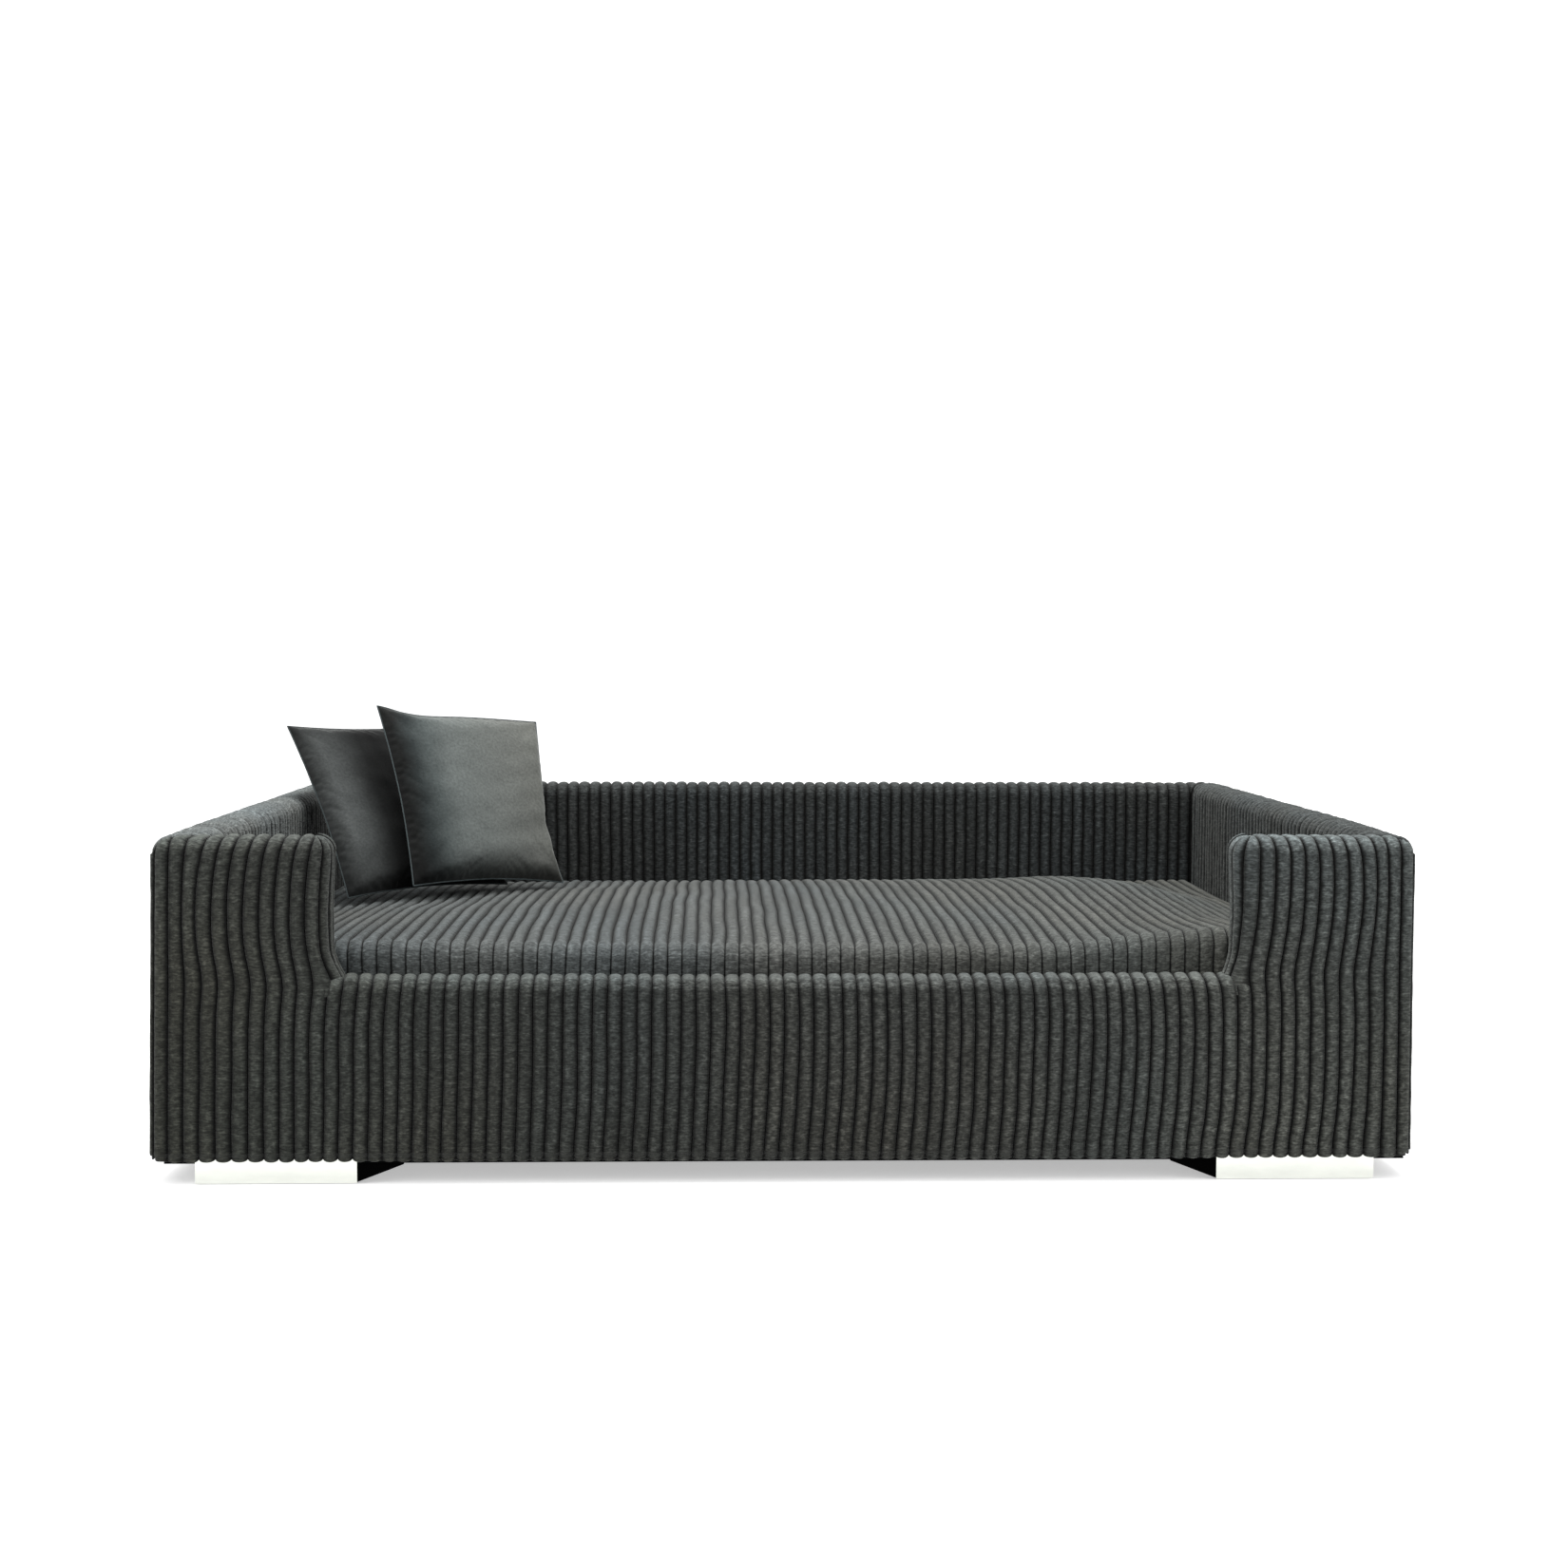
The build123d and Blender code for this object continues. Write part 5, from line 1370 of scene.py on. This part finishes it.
def mirror_chrome():
    mat, nt, bs, obj = surface("mirror_chrome", rough=0.06, metal=1.0)
    f = noise(nt, obj, 30.0, 3.0, 0.6, (1.0, 1.0, 3.0))
    nt.links.new(ramp(nt, f, [(0.3, (0.64, 0.655, 0.61)), (0.7, (0.70, 0.715, 0.665))]), bs.inputs["Base Color"])
    nt.links.new(calc(nt, "MULTIPLY_ADD", noise(nt, obj, 140.0, 3.0), 0.06, 0.03), bs.inputs["Roughness"])
    bump(nt, bs, noise(nt, obj, 12.0, 1.0), 0.05, 0.0005)
    return mat


def black_shade_block():
    # near-black block at the feet: its colour stands in for the shade under the sofa, a painted shade
    mat, nt, bs, obj = surface("black_block_painted_shade", rough=0.9, spec=0.0)
    f = noise(nt, obj, 900.0, 2.0)
    nt.links.new(ramp(nt, f, [(0.3, (0.0007, 0.0007, 0.0007)), (0.7, (0.0014, 0.0014, 0.0014))]), bs.inputs["Base Color"])
    nt.links.new(calc(nt, "MULTIPLY_ADD", noise(nt, obj, 60.0, 3.0), 0.12, 0.82), bs.inputs["Roughness"])
    bump(nt, bs, f, 0.3, 0.0003)
    return mat


def felt():
    mat, nt, bs, obj = surface("dense_felt", rough=0.95, spec=0.1, sheen=0.3)
    f = noise(nt, obj, 700.0, 5.0, 0.75)
    nt.links.new(ramp(nt, f, [(0.3, (0.06, 0.06, 0.06)), (0.7, (0.16, 0.16, 0.16))]), bs.inputs["Base Color"])
    bump(nt, bs, f, 0.7, 0.001)
    return mat


def zinc():
    mat, nt, bs, obj = surface("zinc_plated_steel", rough=0.35, metal=1.0)
    f = noise(nt, obj, 300.0, 4.0, 0.7)
    nt.links.new(ramp(nt, f, [(0.3, (0.60, 0.60, 0.56)), (0.7, (0.78, 0.78, 0.75))]), bs.inputs["Base Color"])
    nt.links.new(calc(nt, "MULTIPLY_ADD", f, 0.25, 0.22), bs.inputs["Roughness"])
    bump(nt, bs, f, 0.15, 0.0003)
    return mat


def zip_cloth():
    mat, nt, bs, obj = surface("zip_tape_weave", rough=0.8, spec=0.25, sheen=0.2)
    ch = nt.nodes.new("ShaderNodeTexChecker")
    ch.inputs["Scale"].default_value = 1100.0
    nt.links.new(obj, ch.inputs["Vector"])
    f = calc(nt, "MULTIPLY_ADD", noise(nt, obj, 500.0, 3.0), 0.5, calc(nt, "MULTIPLY", ch.outputs["Fac"], 0.5))
    nt.links.new(ramp(nt, f, [(0.2, (0.014, 0.017, 0.016)), (0.8, (0.045, 0.052, 0.05))]), bs.inputs["Base Color"])
    bump(nt, bs, f, 0.6, 0.0004)
    return mat


def nickel():
    mat, nt, bs, obj = surface("dark_nickel", rough=0.3, metal=1.0)
    f = noise(nt, obj, 900.0, 3.0, 0.6, (1.0, 8.0, 1.0))
    nt.links.new(ramp(nt, f, [(0.3, (0.22, 0.22, 0.22)), (0.7, (0.36, 0.36, 0.35))]), bs.inputs["Base Color"])
    nt.links.new(calc(nt, "MULTIPLY_ADD", f, 0.2, 0.2), bs.inputs["Roughness"])
    bump(nt, bs, f, 0.15, 0.0002)
    return mat


# cloth colour at the crest, darkening into the groove as painted shade
CORD_TONE_AND_GROOVE_SHADE = [(0.0, 0.0003), (0.36, 0.0007), (0.54, 0.0032), (0.70, 0.0135), (0.84, 0.0258), (0.95, 0.0352), (1.0, 0.0372)]
# painted light and shade along the sofa: darker at the left end, lighter at the right end
ENDS_PAINTED_SHADE = [(0.02, (0.62, 0.63, 0.55)), (0.35, (0.67, 0.69, 0.665)), (0.62, (0.73, 0.745, 0.73)), (0.86, (1.03, 1.08, 1.05)), (0.98, (1.12, 1.17, 1.12))]
SEAT_ENDS = [(0.10, (0.96, 1.0, 1.0)), (0.50, (0.98, 1.0, 0.99)), (0.85, (1.0, 1.0, 0.92))]
# lit and shaded copies of one corduroy: the front carries painted light on upward faces and painted shade from left to
# right; the back and the right arm are darker copies (painted shade), the left arm and the seat lighter copies (painted
# light), and the left arm's inner face also gets the pillow's painted shadow
mat_cord = corduroy("grey_green_corduroy", CORD_TONE_AND_GROOVE_SHADE, (1.0, 1.02, 0.99), 1.22, ENDS_PAINTED_SHADE, None, 2.4, False, 0.12)
mat_back_painted_shade = corduroy("grey_green_corduroy_back_painted_shade", [(p, v * 0.80) for p, v in CORD_TONE_AND_GROOVE_SHADE], (0.93, 1.03, 1.05), 1.15)
mat_arm_l_painted_light_and_shadow = corduroy("grey_green_corduroy_left_arm_painted_light", [(p, v * 1.9 + 0.008) for p, v in CORD_TONE_AND_GROOVE_SHADE], (0.96, 1.03, 1.02), 1.0, None, None, 1.15, True, 0.30)
mat_arm_r_painted_shade = corduroy("grey_green_corduroy_right_arm_painted_shade", [(p, v * 0.80) for p, v in CORD_TONE_AND_GROOVE_SHADE], (0.95, 1.03, 1.02), 1.0, None, None, 1.2, False, 0.30)
mat_seat_painted_light = corduroy("seat_corduroy_painted_light", [(0.0, 0.0006), (0.38, 0.0017), (0.58, 0.0090), (0.76, 0.0300), (0.89, 0.0490), (0.96, 0.0570), (1.0, 0.0590)], (1.0, 1.02, 1.0), 0.95, SEAT_ENDS, (0.030, 0.118, 0.33, 1.06))
# the front pillow's velvet, with painted shade on its left flank and along its bottom edge
mat_velvet_front_painted_shade = velvet("grey_velvet", (0.106, 0.112, 0.108), (0.050, 0.062, 0.064),
    [(-0.114, grey(0.14)), (-0.100, grey(0.08)), (-0.086, (0.17, 0.20, 0.21)), (-0.066, (0.52, 0.58, 0.59)), (-0.040, (0.88, 0.93, 0.93)), (0.01, (0.90, 0.92, 0.90)), (0.06, (0.88, 0.87, 0.83)), (0.102, (0.90, 0.88, 0.82))],
    [(-0.112, grey(0.30)), (-0.092, grey(0.60)), (-0.066, grey(1.08)), (-0.03, grey(1.0)), (0.04, grey(0.98)), (0.10, grey(1.10))])
# the rear pillow's velvet is a darker copy, with the front pillow's shadow painted across its middle
mat_velvet_rear_painted_shadow = velvet("grey_velvet_rear_painted_shadow", (0.062, 0.067, 0.066), (0.034, 0.042, 0.043),
    [(-0.114, grey(0.25)), (-0.102, grey(0.65)), (-0.088, grey(0.95)), (-0.070, grey(0.72)), (-0.054, grey(0.36)), (-0.040, grey(0.13)), (-0.022, grey(0.05)), (0.025, grey(0.09)), (0.06, grey(0.45)), (0.10, grey(0.75))],
    [(-0.112, grey(0.35)), (-0.07, grey(0.85)), (-0.02, grey(1.0)), (0.06, grey(0.75)), (0.10, grey(0.55))])
mat_fill = fibre_fill()
by_slot = {"corduroy": mat_cord, "velvet": mat_velvet_front_painted_shade, "filling": mat_fill, "foam": foam(), "board": plywood(), "lining": lining(), "zinc_steel": zinc(), "chrome": mirror_chrome(), "black_foot": black_shade_block(), "felt": felt(), "zip_tape": zip_cloth(), "zip_metal": nickel()}


def paint(ob, mat):
    ob.data.materials.clear()
    ob.data.materials.append(mat)


paint(front, mat_cord)
paint(back, mat_back_painted_shade)
paint(left_arm, mat_arm_l_painted_light_and_shadow)
paint(right_arm, mat_arm_r_painted_shade)
paint(seat, mat_seat_painted_light)
paint(front_pillow, mat_velvet_front_painted_shade)
paint(rear_pillow, mat_velvet_rear_painted_shadow)
for ob in (wadding, rear_fibre, front_fibre):
    paint(ob, mat_fill)
for node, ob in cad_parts.items():
    for sl in ob.material_slots:
        key = (sl.material.name if sl.material else "").split(".")[0]
        if key in by_slot:
            sl.material = by_slot[key]
        else:
            print("no material slot for", node, key)

# ------------------------------------------------------------------------------------------------ camera, light, floor
scene = bpy.context.scene
cam_data = bpy.data.cameras.new("camera")
cam = bpy.data.objects.new("camera", cam_data)
scene.collection.objects.link(cam)
yaw, pitch, roll = math.radians(1.839), math.radians(3.719), math.radians(0.181)
fwd = Vector((math.sin(yaw) * math.cos(pitch), math.cos(yaw) * math.cos(pitch), -math.sin(pitch)))
right = Vector((math.cos(yaw), -math.sin(yaw), 0.0))
up = right.cross(fwd)
rr = right * math.cos(roll) + up * math.sin(roll)
uu = -right * math.sin(roll) + up * math.cos(roll)
cam.matrix_world = Matrix(((rr.x, uu.x, -fwd.x, -0.0701), (rr.y, uu.y, -fwd.y, -2.3811), (rr.z, uu.z, -fwd.z, 0.5112), (0, 0, 0, 1)))
cam_data.sensor_width = 36.0
cam_data.sensor_fit = "HORIZONTAL"
cam_data.lens = 36.0 * 2209.74 / 1650.0
cam_data.clip_end = 60.0
scene.camera = cam

floor = mesh_object("floor", np.array([[-9, -9, 0], [9, -9, 0], [9, 9, 0], [-9, 9, 0]], float), [[0, 1, 2, 3]])
fm = bpy.data.materials.new("pale_floor")
nt, N, Lk = nodes_of(fm)
o_ = N.new("ShaderNodeOutputMaterial")
b_ = N.new("ShaderNodeBsdfPrincipled")
b_.inputs["Base Color"].default_value = (0.72, 0.72, 0.72, 1)
b_.inputs["Emission Color"].default_value = (1.0, 1.0, 1.0, 1)
b_.inputs["Emission Strength"].default_value = 0.45
b_.inputs["Roughness"].default_value = 0.55
Lk.new(b_.outputs[0], o_.inputs[0])
floor.data.materials.append(fm)

world = bpy.data.worlds.new("world")
scene.world = world
world.use_nodes = True
world.node_tree.nodes["Background"].inputs[0].default_value = (1.0, 1.0, 1.0, 1)
world.node_tree.nodes["Background"].inputs[1].default_value = 1.18


def area(name, loc, target, size, power, colour=(1, 1, 1)):
    l = bpy.data.lights.new(name, "AREA")
    l.shape = "RECTANGLE"
    l.size, l.size_y = size
    l.energy = power
    l.color = colour
    o = bpy.data.objects.new(name, l)
    scene.collection.objects.link(o)
    o.location = loc
    o.rotation_mode = "QUATERNION"
    o.rotation_quaternion = (Vector(target) - Vector(loc)).to_track_quat("-Z", "Y")
    return o


area("top_soft", (0.0, 0.1, 2.4), (0, 0.1, 0.2), (2.6, 1.8), 75)
area("key_left", (-2.0, -1.6, 2.2), (0, 0, 0.2), (1.2, 1.2), 18)

scene.view_settings.view_transform = "Standard"
scene.view_settings.look = "None"
scene.view_settings.exposure = 0.0
scene.view_settings.gamma = 1.0
